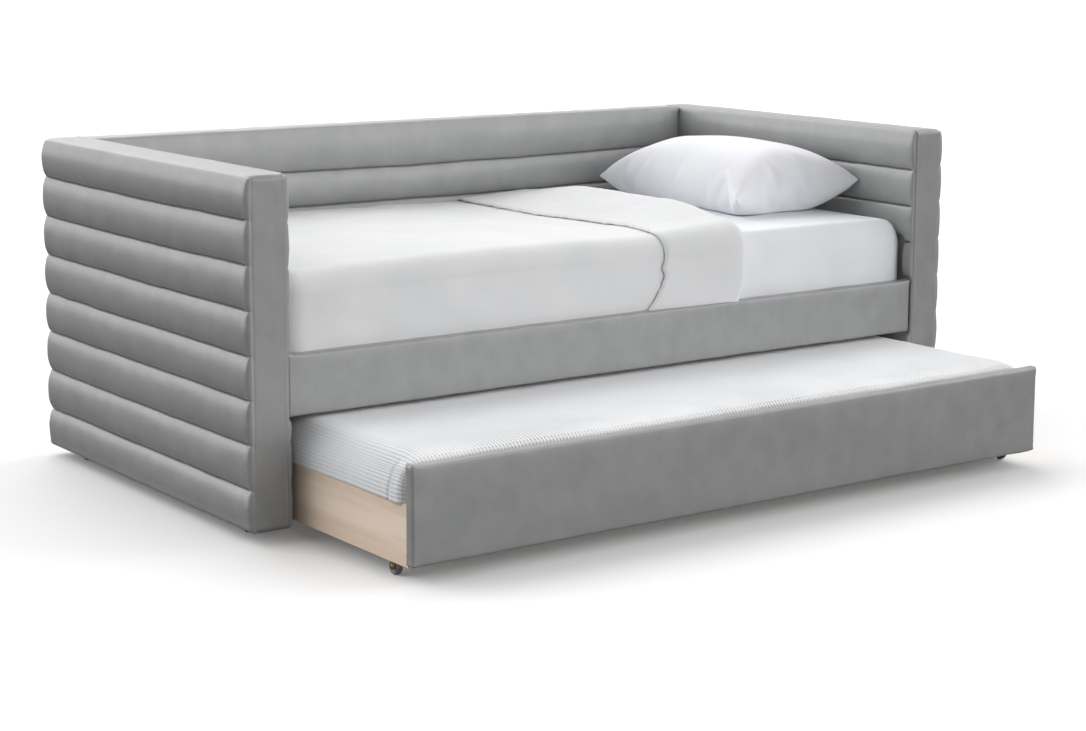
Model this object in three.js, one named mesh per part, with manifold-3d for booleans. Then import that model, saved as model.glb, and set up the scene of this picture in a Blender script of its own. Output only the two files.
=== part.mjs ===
// A daybed with a pull-out trundle, in millimetres, +Z up. The bed's length runs along X and its
// front faces -Y. The origin is on the floor at the middle of the footprint, with the trundle
// pulled half way out. Padded pieces are plain solids of the right size.
import * as THREE from 'three';
import { mergeVertices } from 'three/addons/utils/BufferGeometryUtils.js';
import Module from 'manifold-3d';

const wasm = await Module();
wasm.setup();

// ---------------------------------------------------------------- driving dimensions
const GAP = 0.3; // left between pieces that touch

const LENGTH = 2120; // over the arms' flat front strips
const DEPTH = 1083;
const HEIGHT = 826;
const FLOOR_GAP = 25; // height of the glides under the arms and back

const STRIP_WIDTH = 92; // the flat strip that runs up, over and down each arm
const STRIP_THICKNESS = 12;
const STRIP_CORNER = 10;
const BOARD_THICKNESS = 25; // the plywood panel inside each arm and the back

const CHANNEL_PITCH = 102;
const FIRST_SEAM = 122;
const OUTER_VALLEY = 4; // how far the outer channels stand beyond the strip's edge
const OUTER_PEAK = 14;
const INNER_PEAK = 9;
const BACK_PAD_THICKNESS = 44;
const BACK_PAD_FIRST_SEAM = 3; // the back pad starts at this seam, behind the mattress

const RAIL_BOTTOM = 275;
const RAIL_TOP = 420;
const RAIL_THICKNESS = 28;
const RAIL_SETBACK = 4; // the rail stands this far behind the arms' front
const PANEL_COVER = 6; // padding and cloth round the rail's and the trundle front's board

const CLEAT_WIDTH = 25;
const CLEAT_BOTTOM = 312;
const SLAT_BOTTOM = 352;
const SLAT_THICKNESS = 17.7;
const SLAT_WIDTH = 70;
const SLAT_COUNT = 14;
const SLAT_PITCH = 135;
const TAPE_WIDTH = 25;
const TAPE_THICKNESS = 2;

const MATTRESS_LENGTH = 1902;
const MATTRESS_FRONT = -499;
const MATTRESS_BACK = 446;
const MATTRESS_TOP = 583;
const MATTRESS_EDGE = 30;
const SHEET_THICKNESS = 1.6;
const SHEET_HEM = 378;

const COVERLET_THICKNESS = 12;
const COVERLET_DROP = 6;
const COVERLET_HEM = 395;
const COVERLET_END = 400; // the fold at the head end
const TURNBACK_START = 120; // the edge of the part that is turned back
const TURNBACK_THICKNESS = 14;
const TURNBACK_HEM = 424;

const PILLOW_LENGTH = 720;
const PILLOW_WIDTH = 344;
const PILLOW_THICKNESS = 150;
const PILLOW_PLACE = [763, 8, 667];
const PILLOW_TILT = 6; // degrees, its outer side is the higher one
const PILLOW_TURN = -3; // degrees

const TRUNDLE_LENGTH = 1898;
const TRUNDLE_DEPTH = 955;
const TRUNDLE_PULLED_OUT = 480; // how far out it stands
const TRUNDLE_FRONT_BOTTOM = 36;
const TRUNDLE_FRONT_TOP = 258;
const TRUNDLE_FRONT_THICKNESS = 25;
const TRUNDLE_SIDE_BOTTOM = 33;
const TRUNDLE_SIDE_TOP = 169;
const TRUNDLE_SIDE_INSET = 6; // from the end of the front panel
const TRUNDLE_BOARD = 18;
const TRUNDLE_SLAT_BOTTOM = 82;
const TRUNDLE_SLAT_COUNT = 13;
const TRUNDLE_SLAT_PITCH = 142;
const TRUNDLE_CLEAT_BOTTOM = 42;
const TRUNDLE_MATTRESS_TOP = 250;
const BLANKET_THICKNESS = 6;
const BLANKET_OVERHANG = 10;

const WHEEL_RADIUS = 19;
const WHEEL_WIDTH = 14;
const WHEEL_OUTER_FACE = 934; // from the middle of the bed
const CASTER_FROM_END = 99; // along the trundle's depth
const FORK_PLATE = 1.8;
const FORK_LEG = 1.5;
const FORK_SPACE = 0.8; // between wheel and fork leg
const AXLE_RADIUS = 2.5;
const WHEEL_BORE = 2.62;
const CASTER_POCKET_SKIN = 6; // wood left outside the pocket for the caster

const BRACKET_THICKNESS = 3;
const BRACKET_LEG = 57;
const BRACKET_BOTTOM = 282;
const BRACKET_TOP = 311;
const BOLT_RADIUS = 4;
const BOLT_HEAD_RADIUS = 8;
const BOLT_HEAD = 6;
const BOLT_LENGTH = 64;

const GLIDE_RADIUS = 13;
const GLIDE_FROM_END = 110;
const BACK_GLIDE_X = 480;

// ---------------------------------------------------------------- dimensions that follow
const STRIP_OUTER = LENGTH / 2;
const STRIP_INNER = STRIP_OUTER - STRIP_WIDTH;
const FRONT = -DEPTH / 2;
const BACK = DEPTH / 2;
const INSIDE_FRONT = FRONT + STRIP_THICKNESS + GAP;
const INSIDE_BACK = BACK - STRIP_THICKNESS - GAP;
const INSIDE_TOP = HEIGHT - STRIP_THICKNESS - GAP;
const ARM_BOTTOM = FLOOR_GAP + GAP;
const BOARD_INNER = (STRIP_OUTER + STRIP_INNER - BOARD_THICKNESS) / 2;
const BOARD_OUTER = BOARD_INNER + BOARD_THICKNESS;
const BACK_BOARD_FRONT = INSIDE_BACK - BOARD_THICKNESS;
const BETWEEN_ARMS = STRIP_INNER - INNER_PEAK - GAP;
const BRACKET_REACH = BETWEEN_ARMS - GAP;
const RAIL_FRONT = FRONT + RAIL_SETBACK;
const RAIL_REAR = RAIL_FRONT + RAIL_THICKNESS;
const DECK_TOP = SLAT_BOTTOM + SLAT_THICKNESS;
const SHEET_TOP = MATTRESS_TOP + GAP + SHEET_THICKNESS;
const TRUNDLE_INSIDE = TRUNDLE_LENGTH / 2 - TRUNDLE_SIDE_INSET - TRUNDLE_BOARD;
const TRUNDLE_SIDE_FACE = TRUNDLE_INSIDE + TRUNDLE_BOARD;
const TRUNDLE_DECK_TOP = TRUNDLE_SLAT_BOTTOM + SLAT_THICKNESS;
const WHEEL_INNER_FACE = WHEEL_OUTER_FACE - WHEEL_WIDTH;
const FORK_OUTER = WHEEL_OUTER_FACE + FORK_SPACE + FORK_LEG;
const FORK_INNER = WHEEL_INNER_FACE - FORK_SPACE - FORK_LEG;
const FORK_TOP = 2 * WHEEL_RADIUS + 3.5;
const TRUNDLE_FRONT_AT_REST = RAIL_FRONT - TRUNDLE_PULLED_OUT;
const FOOTPRINT_MIDDLE = (TRUNDLE_FRONT_AT_REST + BACK) / 2;

// ---------------------------------------------------------------- materials
function material(color, roughness, metalness = 0) {
  return new THREE.MeshStandardMaterial({ color, roughness, metalness });
}

const upholstery = material('#8f908d', 0.62);
const plywood = material('#b89a74', 0.7);
const palePine = material('#cdb99a', 0.65);
const paleOak = material('#c9b49c', 0.55);
const whiteLinen = material('#eceae8', 0.85);
const mattressTicking = material('#e4e2de', 0.9);
const waffleCotton = material('#e3e3e2', 0.9);
const zincSteel = material('#b3b1aa', 0.35, 1);
const brassPlatedSteel = material('#a98a55', 0.4, 1);
const greyRubber = material('#7d7b7c', 0.55);
const blackPlastic = material('#2a2a2b', 0.5);
const webbing = palePine;

// ---------------------------------------------------------------- solids
function toSolid(geometry) {
  const bare = geometry.clone();
  bare.deleteAttribute('normal');
  bare.deleteAttribute('uv');
  const merged = mergeVertices(bare, 1e-4);
  return new wasm.Manifold(new wasm.Mesh({
    numProp: 3,
    vertProperties: new Float32Array(merged.attributes.position.array),
    triVerts: new Uint32Array(merged.index.array),
  }));
}

function toGeometry(solid) {
  const mesh = solid.getMesh();
  const geometry = new THREE.BufferGeometry();
  geometry.setAttribute('position', new THREE.BufferAttribute(new Float32Array(mesh.vertProperties), 3));
  geometry.setIndex(new THREE.BufferAttribute(new Uint32Array(mesh.triVerts), 1));
  geometry.computeVertexNormals();
  return geometry;
}

function join(...geometries) {
  return toGeometry(geometries.map(toSolid).reduce((whole, piece) => whole.add(piece)));
}

function cut(geometry, ...tools) {
  return toGeometry(tools.map(toSolid).reduce((whole, tool) => whole.subtract(tool), toSolid(geometry)));
}

function box([x0, x1], [y0, y1], [z0, z1]) {
  const geometry = new THREE.BoxGeometry(Math.abs(x1 - x0), Math.abs(y1 - y0), Math.abs(z1 - z0));
  return geometry.translate((x0 + x1) / 2, (y0 + y1) / 2, (z0 + z1) / 2);
}

function extrude(outline, length, options = {}) {
  return new THREE.ExtrudeGeometry(outline, { depth: length, bevelEnabled: false, ...options });
}

// An outline drawn in (y, z), run along X.
function prismAlongX(outline, x0, x1) {
  const turned = new THREE.Matrix4().makeBasis(
    new THREE.Vector3(0, 1, 0), new THREE.Vector3(0, 0, 1), new THREE.Vector3(1, 0, 0));
  return extrude(outline, x1 - x0).applyMatrix4(turned).translate(x0, 0, 0);
}

// An outline drawn in (x, z), run along Y.
function prismAlongY(outline, y0, y1) {
  return extrude(outline, y1 - y0).rotateX(Math.PI / 2).translate(0, y1, 0);
}

function rodAlongX(radius, x0, x1, y, z, sides = 16) {
  const rod = new THREE.CylinderGeometry(radius, radius, Math.abs(x1 - x0), sides);
  return rod.rotateZ(Math.PI / 2).translate((x0 + x1) / 2, y, z);
}

// The range from a to b measured outwards from the middle of the bed, on one side of it.
function sideways(side, a, b) {
  return side < 0 ? [-b, -a] : [a, b];
}

// A flat-backed pad whose face swells between its seams. place turns (outwards, height) into a
// point of the outline's plane.
function channelOutline(place, rear, valley, peak, seams) {
  const steps = 8;
  const outline = new THREE.Shape();
  outline.moveTo(...place(rear, seams[0]));
  outline.lineTo(...place(valley, seams[0]));
  for (let k = 1; k < seams.length; k += 1) {
    const low = seams[k - 1];
    const high = seams[k];
    for (let step = 1; step <= steps; step += 1) {
      const angle = (Math.PI * step) / steps;
      const out = valley + (peak - valley) * Math.sin(angle);
      outline.lineTo(...place(out, low + ((high - low) * (1 - Math.cos(angle))) / 2));
    }
  }
  outline.lineTo(...place(rear, seams[seams.length - 1]));
  outline.closePath();
  return outline;
}

function seamHeights(bottom, firstSeam, top) {
  const heights = [bottom];
  for (let z = FIRST_SEAM + firstSeam * CHANNEL_PITCH; z < top - CHANNEL_PITCH / 2; z += CHANNEL_PITCH) {
    heights.push(z);
  }
  heights.push(top);
  return heights;
}

// A box with rounded edges, for soft blocks.
function softBlock([x0, x1], [y0, y1], [z0, z1], radius) {
  const outline = new THREE.Shape();
  const halfX = (x1 - x0) / 2 - radius;
  const halfY = (y1 - y0) / 2 - radius;
  outline.moveTo(-halfX, -halfY);
  outline.lineTo(halfX, -halfY);
  outline.lineTo(halfX, halfY);
  outline.lineTo(-halfX, halfY);
  outline.closePath();
  const rounding = {
    bevelEnabled: true, bevelThickness: radius, bevelSize: radius, bevelSegments: 3,
  };
  const block = extrude(outline, z1 - z0 - 2 * radius, rounding);
  return block.translate((x0 + x1) / 2, (y0 + y1) / 2, z0 + radius);
}

const bed = new THREE.Group();
bed.position.y = -FOOTPRINT_MIDDLE;
const trundle = new THREE.Group();
trundle.position.y = TRUNDLE_FRONT_AT_REST;
bed.add(trundle);

function addPart(parent, name, geometry, finish) {
  const mesh = new THREE.Mesh(geometry, finish);
  mesh.name = name;
  parent.add(mesh);
  return mesh;
}

const SIDES = [['left', -1], ['right', 1]];
const ENDS = [['front', -1], ['rear', 1]];

// ---------------------------------------------------------------- arms
function bracketHole(side, end) {
  const y = end < 0 ? RAIL_REAR + BRACKET_LEG / 2 : BACK_BOARD_FRONT - BRACKET_LEG / 2;
  const z = (BRACKET_BOTTOM + BRACKET_TOP) / 2;
  const start = BRACKET_REACH - BRACKET_THICKNESS - BOLT_HEAD;
  const inner = start + BOLT_HEAD + GAP;
  return { y, z, start, inner, end: inner + BOLT_LENGTH };
}

function boltBore(side, end) {
  const hole = bracketHole(side, end);
  const [x0, x1] = sideways(side, hole.start, hole.end + GAP);
  return rodAlongX(BOLT_RADIUS + GAP, x0, x1, hole.y, hole.z, 12);
}

function stripOutline() {
  const outer = new THREE.Shape();
  outer.moveTo(FRONT, ARM_BOTTOM);
  outer.lineTo(FRONT + STRIP_THICKNESS, ARM_BOTTOM);
  outer.lineTo(FRONT + STRIP_THICKNESS, HEIGHT - STRIP_THICKNESS);
  outer.lineTo(BACK - STRIP_THICKNESS, HEIGHT - STRIP_THICKNESS);
  outer.lineTo(BACK - STRIP_THICKNESS, ARM_BOTTOM);
  outer.lineTo(BACK, ARM_BOTTOM);
  outer.lineTo(BACK, HEIGHT - STRIP_CORNER);
  outer.absarc(BACK - STRIP_CORNER, HEIGHT - STRIP_CORNER, STRIP_CORNER, 0, Math.PI / 2);
  outer.lineTo(FRONT + STRIP_CORNER, HEIGHT);
  outer.absarc(FRONT + STRIP_CORNER, HEIGHT - STRIP_CORNER, STRIP_CORNER, Math.PI / 2, Math.PI);
  outer.closePath();
  return outer;
}

function makeArm(label, side) {
  const boltBores = ENDS.map(([, end]) => boltBore(side, end));
  const board = box(sideways(side, BOARD_INNER, BOARD_OUTER), [INSIDE_FRONT, INSIDE_BACK],
    [ARM_BOTTOM, INSIDE_TOP]);
  addPart(bed, `arm_${label}_board`, cut(board, ...boltBores), plywood);

  const place = (outwards, height) => [side * outwards, height];
  const seams = seamHeights(ARM_BOTTOM, 0, INSIDE_TOP);
  const outer = channelOutline(place, BOARD_OUTER + GAP, STRIP_OUTER + OUTER_VALLEY,
    STRIP_OUTER + OUTER_PEAK, seams);
  addPart(bed, `arm_${label}_outer_pad`, prismAlongY(outer, INSIDE_FRONT, INSIDE_BACK), upholstery);

  const inner = channelOutline(place, BOARD_INNER - GAP, STRIP_INNER, STRIP_INNER - INNER_PEAK, seams);
  const innerPad = prismAlongY(inner, INSIDE_FRONT, BACK_BOARD_FRONT - GAP);
  addPart(bed, `arm_${label}_inner_pad`, cut(innerPad, ...boltBores), upholstery);

  const [x0, x1] = sideways(side, STRIP_INNER, STRIP_OUTER);
  addPart(bed, `arm_${label}_strip`, prismAlongX(stripOutline(), x0, x1), upholstery);
}

// ---------------------------------------------------------------- back
function makeBack() {
  const reach = BOARD_INNER - GAP;
  addPart(bed, 'back_board', box([-reach, reach], [BACK_BOARD_FRONT, INSIDE_BACK],
    [ARM_BOTTOM, INSIDE_TOP]), plywood);

  const padBottom = FIRST_SEAM + BACK_PAD_FIRST_SEAM * CHANNEL_PITCH;
  const seams = seamHeights(padBottom, BACK_PAD_FIRST_SEAM + 1, INSIDE_TOP);
  const place = (forwards, height) => [BACK_BOARD_FRONT - GAP - forwards, height];
  const face = channelOutline(place, 0, BACK_PAD_THICKNESS, BACK_PAD_THICKNESS + INNER_PEAK, seams);
  addPart(bed, 'back_inner_pad', prismAlongX(face, -BETWEEN_ARMS, BETWEEN_ARMS), upholstery);

  const cover = new THREE.Shape();
  const coverFront = BACK_BOARD_FRONT - BACK_PAD_THICKNESS;
  cover.moveTo(BACK, ARM_BOTTOM);
  cover.lineTo(BACK, HEIGHT - STRIP_CORNER);
  cover.absarc(BACK - STRIP_CORNER, HEIGHT - STRIP_CORNER, STRIP_CORNER, 0, Math.PI / 2);
  cover.lineTo(coverFront, HEIGHT);
  cover.lineTo(coverFront, HEIGHT - STRIP_THICKNESS);
  cover.lineTo(BACK - STRIP_THICKNESS, HEIGHT - STRIP_THICKNESS);
  cover.lineTo(BACK - STRIP_THICKNESS, ARM_BOTTOM);
  cover.closePath();
  const reachCover = STRIP_INNER - GAP;
  addPart(bed, 'back_outer_cover', prismAlongX(cover, -reachCover, reachCover), upholstery);
}

// ---------------------------------------------------------------- front rail, cleats and slats
// A board with a padded cover folded over its front, edges and ends. The cover is open behind.
function addPaddedPanel(parent, name, half, front, thickness, [bottom, top], boardFinish) {
  const outline = new THREE.Shape();
  outline.moveTo(front + thickness, bottom);
  outline.lineTo(front + thickness, top);
  outline.lineTo(front + PANEL_COVER, top);
  outline.absarc(front + PANEL_COVER, top - PANEL_COVER, PANEL_COVER, Math.PI / 2, Math.PI);
  outline.absarc(front + PANEL_COVER, bottom + PANEL_COVER, PANEL_COVER, Math.PI, (3 * Math.PI) / 2);
  outline.closePath();
  const pocket = box([PANEL_COVER - half, half - PANEL_COVER], [front + PANEL_COVER, front + thickness + 1],
    [bottom + PANEL_COVER, top - PANEL_COVER]);
  addPart(parent, `${name}_cover`, cut(prismAlongX(outline, -half, half), pocket), upholstery);

  const inset = PANEL_COVER + GAP;
  const board = box([inset - half, half - inset], [front + inset, front + thickness],
    [bottom + inset, top - inset]);
  addPart(parent, `${name}_board`, board, boardFinish);
}

function slatDeck(count, pitch, [y0, y1], bottom, tapePlaces) {
  const half = ((count - 1) * pitch) / 2;
  const slats = [];
  for (let k = 0; k < count; k += 1) {
    const x = k * pitch - half;
    slats.push(box([x - SLAT_WIDTH / 2, x + SLAT_WIDTH / 2], [y0, y1], [bottom, bottom + SLAT_THICKNESS]));
  }
  const tapes = tapePlaces.map((y) => box([-half, half], [y - TAPE_WIDTH / 2, y + TAPE_WIDTH / 2],
    [bottom - TAPE_THICKNESS, bottom + TAPE_THICKNESS]));
  return join(...slats, ...tapes);
}

function makeRailAndDeck() {
  addPaddedPanel(bed, 'front_rail', BETWEEN_ARMS, RAIL_FRONT, RAIL_THICKNESS, [RAIL_BOTTOM, RAIL_TOP],
    palePine);

  const cleatReach = BRACKET_REACH - BRACKET_THICKNESS;
  const cleatHeights = [CLEAT_BOTTOM, SLAT_BOTTOM - GAP];
  const frontCleat = RAIL_REAR + GAP;
  const rearCleat = BACK_BOARD_FRONT - GAP;
  addPart(bed, 'slat_cleat_front', box([-cleatReach, cleatReach], [frontCleat, frontCleat + CLEAT_WIDTH],
    cleatHeights), palePine);
  addPart(bed, 'slat_cleat_rear', box([-cleatReach, cleatReach], [rearCleat - CLEAT_WIDTH, rearCleat],
    cleatHeights), palePine);
  const deck = slatDeck(SLAT_COUNT, SLAT_PITCH, [RAIL_REAR + 4, BACK_BOARD_FRONT - 4], SLAT_BOTTOM,
    [DEPTH / 4, -DEPTH / 4]);
  addPart(bed, 'slat_deck', deck, webbing);
}

// Steel angles tie the rail and the back to the arms, each with a bolt into the arm's board.
function makeBracket(endLabel, end, sideLabel, side) {
  const wall = end < 0 ? RAIL_REAR + GAP : BACK_BOARD_FRONT - GAP;
  const away = -end;
  const heights = [BRACKET_BOTTOM, BRACKET_TOP];
  const alongWall = box(sideways(side, BRACKET_REACH - BRACKET_LEG, BRACKET_REACH),
    [wall, wall + away * BRACKET_THICKNESS].sort((a, b) => a - b), heights);
  const alongArm = box(sideways(side, BRACKET_REACH - BRACKET_THICKNESS, BRACKET_REACH),
    [wall, wall + away * BRACKET_LEG].sort((a, b) => a - b), heights);
  const angle = cut(join(alongWall, alongArm), boltBore(side, end));
  addPart(bed, `bracket_${endLabel}_${sideLabel}`, angle, zincSteel);

  const hole = bracketHole(side, end);
  const [head0, head1] = sideways(side, hole.start - GAP, hole.start - GAP + BOLT_HEAD);
  const [shank0, shank1] = sideways(side, hole.start, hole.end);
  const bolt = join(rodAlongX(BOLT_HEAD_RADIUS, head0, head1, hole.y, hole.z, 6),
    rodAlongX(BOLT_RADIUS, shank0, shank1, hole.y, hole.z, 12));
  addPart(bed, `bolt_${endLabel}_${sideLabel}`, bolt, zincSteel);
}

function makeGlide(name, x, y) {
  const glide = new THREE.CylinderGeometry(GLIDE_RADIUS, GLIDE_RADIUS * 0.9, FLOOR_GAP, 20);
  addPart(bed, name, glide.rotateX(Math.PI / 2).translate(x, y, FLOOR_GAP / 2), blackPlastic);
}

function makeGlides() {
  for (const [endLabel, end] of ENDS) {
    for (const [sideLabel, side] of SIDES) {
      const x = (side * (BOARD_INNER + BOARD_OUTER)) / 2;
      makeGlide(`glide_${endLabel}_${sideLabel}`, x, end * (BACK - GLIDE_FROM_END));
    }
  }
  for (const [sideLabel, side] of SIDES) {
    makeGlide(`glide_back_${sideLabel}`, side * BACK_GLIDE_X, BACK_BOARD_FRONT + BOARD_THICKNESS / 2);
  }
}

// ---------------------------------------------------------------- bedding on the deck
// A cloth cap over a block: its top and sides, open underneath.
function cap([x0, x1], [y0, y1], top, hem, thickness) {
  const inside = GAP;
  const outside = GAP + thickness;
  const outer = box([x0 - outside, x1 + outside], [y0 - outside, y1 + outside], [hem, top + outside]);
  const inner = box([x0 - inside, x1 + inside], [y0 - inside, y1 + inside], [hem - 1, top + inside]);
  return cut(outer, inner);
}

function makeBedding() {
  const half = MATTRESS_LENGTH / 2;
  const depth = [MATTRESS_FRONT, MATTRESS_BACK];
  addPart(bed, 'mattress', softBlock([-half, half], depth, [DECK_TOP + GAP, MATTRESS_TOP],
    MATTRESS_EDGE), mattressTicking);
  addPart(bed, 'fitted_sheet', cap([-half, half], depth, MATTRESS_TOP, SHEET_HEM, SHEET_THICKNESS),
    whiteLinen);

  const under = SHEET_TOP + GAP;
  const top = under + COVERLET_THICKNESS;
  const sheetFront = MATTRESS_FRONT - 2 * GAP - SHEET_THICKNESS;
  const dropFront = sheetFront - COVERLET_DROP;
  const onTop = box([-half, COVERLET_END], [dropFront, MATTRESS_BACK], [under, top]);
  const drop = box([-half, COVERLET_END], [dropFront, sheetFront], [COVERLET_HEM, top]);
  const turnback = box([TURNBACK_START, COVERLET_END], [dropFront - COVERLET_DROP, MATTRESS_BACK],
    [under, top + TURNBACK_THICKNESS]);
  const turnbackSpace = box([TURNBACK_START - 1, COVERLET_END + 1], [dropFront, MATTRESS_BACK + 1],
    [under - 1, top - 1]);
  const turnbackDrop = box([TURNBACK_START, COVERLET_END], [dropFront - COVERLET_DROP, dropFront + 1],
    [TURNBACK_HEM, top + TURNBACK_THICKNESS]);
  addPart(bed, 'coverlet', join(onTop, drop, cut(turnback, turnbackSpace), turnbackDrop), whiteLinen);
}

// Thick in the middle, thinning to an edge all round, with its corners drawn out.
function pillowGeometry() {
  const columns = 16;
  const rows = 12;
  const positions = [];
  const indices = [];
  const sheetIndex = [new Map(), new Map()];
  const point = (layer, i, j) => {
    const rim = i === 0 || j === 0 || i === columns || j === rows;
    const key = i * (rows + 1) + j;
    const store = sheetIndex[rim ? 0 : layer];
    if (!store.has(key)) {
      const u = (2 * i) / columns - 1;
      const v = (2 * j) / rows - 1;
      const pull = 0.06;
      const x = (PILLOW_WIDTH / 2) * v * (1 - pull * (1 - u * u));
      const y = (PILLOW_LENGTH / 2) * u * (1 - pull * (1 - v * v));
      const swell = ((1 - u ** 4) * (1 - v ** 4)) ** 0.6;
      const z = rim ? 0 : (PILLOW_THICKNESS / 2) * swell * (layer === 0 ? 1 : -1);
      store.set(key, positions.length / 3);
      positions.push(x, y, z);
    }
    return store.get(key);
  };
  for (const layer of [0, 1]) {
    for (let i = 0; i < columns; i += 1) {
      for (let j = 0; j < rows; j += 1) {
        const corners = [point(layer, i, j), point(layer, i + 1, j), point(layer, i + 1, j + 1),
          point(layer, i, j + 1)];
        if (layer === 0) {
          corners.reverse();
        }
        indices.push(corners[0], corners[1], corners[2], corners[0], corners[2], corners[3]);
      }
    }
  }
  const geometry = new THREE.BufferGeometry();
  geometry.setAttribute('position', new THREE.Float32BufferAttribute(positions, 3));
  geometry.setIndex(indices);
  geometry.computeVertexNormals();
  return geometry;
}

function makePillow() {
  const pillow = addPart(bed, 'pillow', pillowGeometry(), whiteLinen);
  pillow.rotation.order = 'ZYX';
  pillow.rotation.y = -THREE.MathUtils.degToRad(PILLOW_TILT);
  pillow.rotation.z = THREE.MathUtils.degToRad(PILLOW_TURN);
  pillow.position.set(...PILLOW_PLACE);
}

// ---------------------------------------------------------------- trundle, from its front at y = 0
const CASTER_PLACES = [['front', CASTER_FROM_END], ['rear', TRUNDLE_DEPTH - CASTER_FROM_END]];

function makeTrundleFront() {
  addPaddedPanel(trundle, 'trundle_front', TRUNDLE_LENGTH / 2, 0, TRUNDLE_FRONT_THICKNESS,
    [TRUNDLE_FRONT_BOTTOM, TRUNDLE_FRONT_TOP], palePine);
}

function makeTrundleBox() {
  const heights = [TRUNDLE_SIDE_BOTTOM, TRUNDLE_SIDE_TOP];
  const start = TRUNDLE_FRONT_THICKNESS + GAP;
  for (const [label, side] of SIDES) {
    const board = box(sideways(side, TRUNDLE_INSIDE, TRUNDLE_SIDE_FACE), [start, TRUNDLE_DEPTH], heights);
    const pockets = CASTER_PLACES.map(([, y]) => box(
      sideways(side, TRUNDLE_INSIDE - 1, TRUNDLE_SIDE_FACE - CASTER_POCKET_SKIN),
      [y - 26, y + 26], [TRUNDLE_SIDE_BOTTOM - 1, FORK_TOP + FORK_PLATE + 1]));
    addPart(trundle, `trundle_side_${label}`, cut(board, ...pockets), paleOak);
  }
  const reach = TRUNDLE_INSIDE - GAP;
  const rear = TRUNDLE_DEPTH - TRUNDLE_BOARD;
  addPart(trundle, 'trundle_back_board', box([-reach, reach], [rear, TRUNDLE_DEPTH], heights), paleOak);

  const cleatHeights = [TRUNDLE_CLEAT_BOTTOM, TRUNDLE_SLAT_BOTTOM - GAP];
  addPart(trundle, 'trundle_cleat_front', box([-reach, reach], [start, start + CLEAT_WIDTH],
    cleatHeights), palePine);
  addPart(trundle, 'trundle_cleat_rear', box([-reach, reach], [rear - GAP - CLEAT_WIDTH, rear - GAP],
    cleatHeights), palePine);
  const deck = slatDeck(TRUNDLE_SLAT_COUNT, TRUNDLE_SLAT_PITCH, [start + 1, rear - 1],
    TRUNDLE_SLAT_BOTTOM, [TRUNDLE_DEPTH * 0.3, TRUNDLE_DEPTH * 0.7]);
  addPart(trundle, 'trundle_slat_deck', deck, webbing);
}

function makeTrundleBedding() {
  const halfMattress = TRUNDLE_INSIDE - 4;
  const depth = [TRUNDLE_FRONT_THICKNESS + 4, TRUNDLE_DEPTH - TRUNDLE_BOARD - 6];
  addPart(trundle, 'trundle_mattress', softBlock([-halfMattress, halfMattress], depth,
    [TRUNDLE_DECK_TOP + GAP, TRUNDLE_MATTRESS_TOP], MATTRESS_EDGE / 2), mattressTicking);

  const over = halfMattress + BLANKET_OVERHANG;
  const top = TRUNDLE_MATTRESS_TOP + GAP;
  const outer = box([-over, over], [TRUNDLE_FRONT_THICKNESS + 2 * GAP, TRUNDLE_DEPTH - 6],
    [TRUNDLE_SIDE_TOP + GAP, top + BLANKET_THICKNESS]);
  const inner = box([-halfMattress - GAP, halfMattress + GAP], [depth[0] - GAP, depth[1] + GAP],
    [TRUNDLE_SIDE_TOP - 1, top]);
  addPart(trundle, 'trundle_blanket', cut(outer, inner), waffleCotton);
}

// ---------------------------------------------------------------- casters
function wheelGeometry() {
  const half = WHEEL_WIDTH / 2;
  const shoulder = 3;
  const rim = WHEEL_RADIUS - 6;
  const hub = 6.5;
  const recess = 2;
  const profile = [
    [WHEEL_BORE, -half], [hub, -half], [hub + 1, recess - half], [rim - 1, recess - half], [rim, -half],
    [WHEEL_RADIUS - shoulder, -half], [WHEEL_RADIUS - 0.8, 0.7 - half + shoulder / 2],
    [WHEEL_RADIUS, shoulder - half], [WHEEL_RADIUS, half - shoulder],
    [WHEEL_RADIUS - 0.8, half - 0.7 - shoulder / 2], [WHEEL_RADIUS - shoulder, half],
    [rim, half], [rim - 1, half - recess], [hub + 1, half - recess], [hub, half], [WHEEL_BORE, half],
    [WHEEL_BORE, -half],
  ].map(([radius, along]) => new THREE.Vector2(radius, along));
  return new THREE.LatheGeometry(profile, 24).rotateZ(Math.PI / 2);
}

function forkGeometry(side) {
  const leg = 9;
  const plate = box(sideways(side, FORK_INNER - 24, FORK_OUTER), [-21, 21], [FORK_TOP, FORK_TOP + FORK_PLATE]);
  const outerLeg = box(sideways(side, FORK_OUTER - FORK_LEG, FORK_OUTER), [-leg, leg],
    [WHEEL_RADIUS - leg, FORK_TOP + 1]);
  const innerLeg = box(sideways(side, FORK_INNER, FORK_INNER + FORK_LEG), [-leg, leg],
    [WHEEL_RADIUS - leg, FORK_TOP + 1]);
  const [a0, a1] = sideways(side, FORK_INNER - 1.5, FORK_OUTER + 0.3);
  const axle = rodAlongX(AXLE_RADIUS, a0, a1, 0, WHEEL_RADIUS);
  const [h0, h1] = sideways(side, FORK_OUTER - 0.5, FORK_OUTER + 1.8);
  const head = rodAlongX(4.2, h0, h1, 0, WHEEL_RADIUS);
  return join(plate, outerLeg, innerLeg, axle, head);
}

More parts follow.
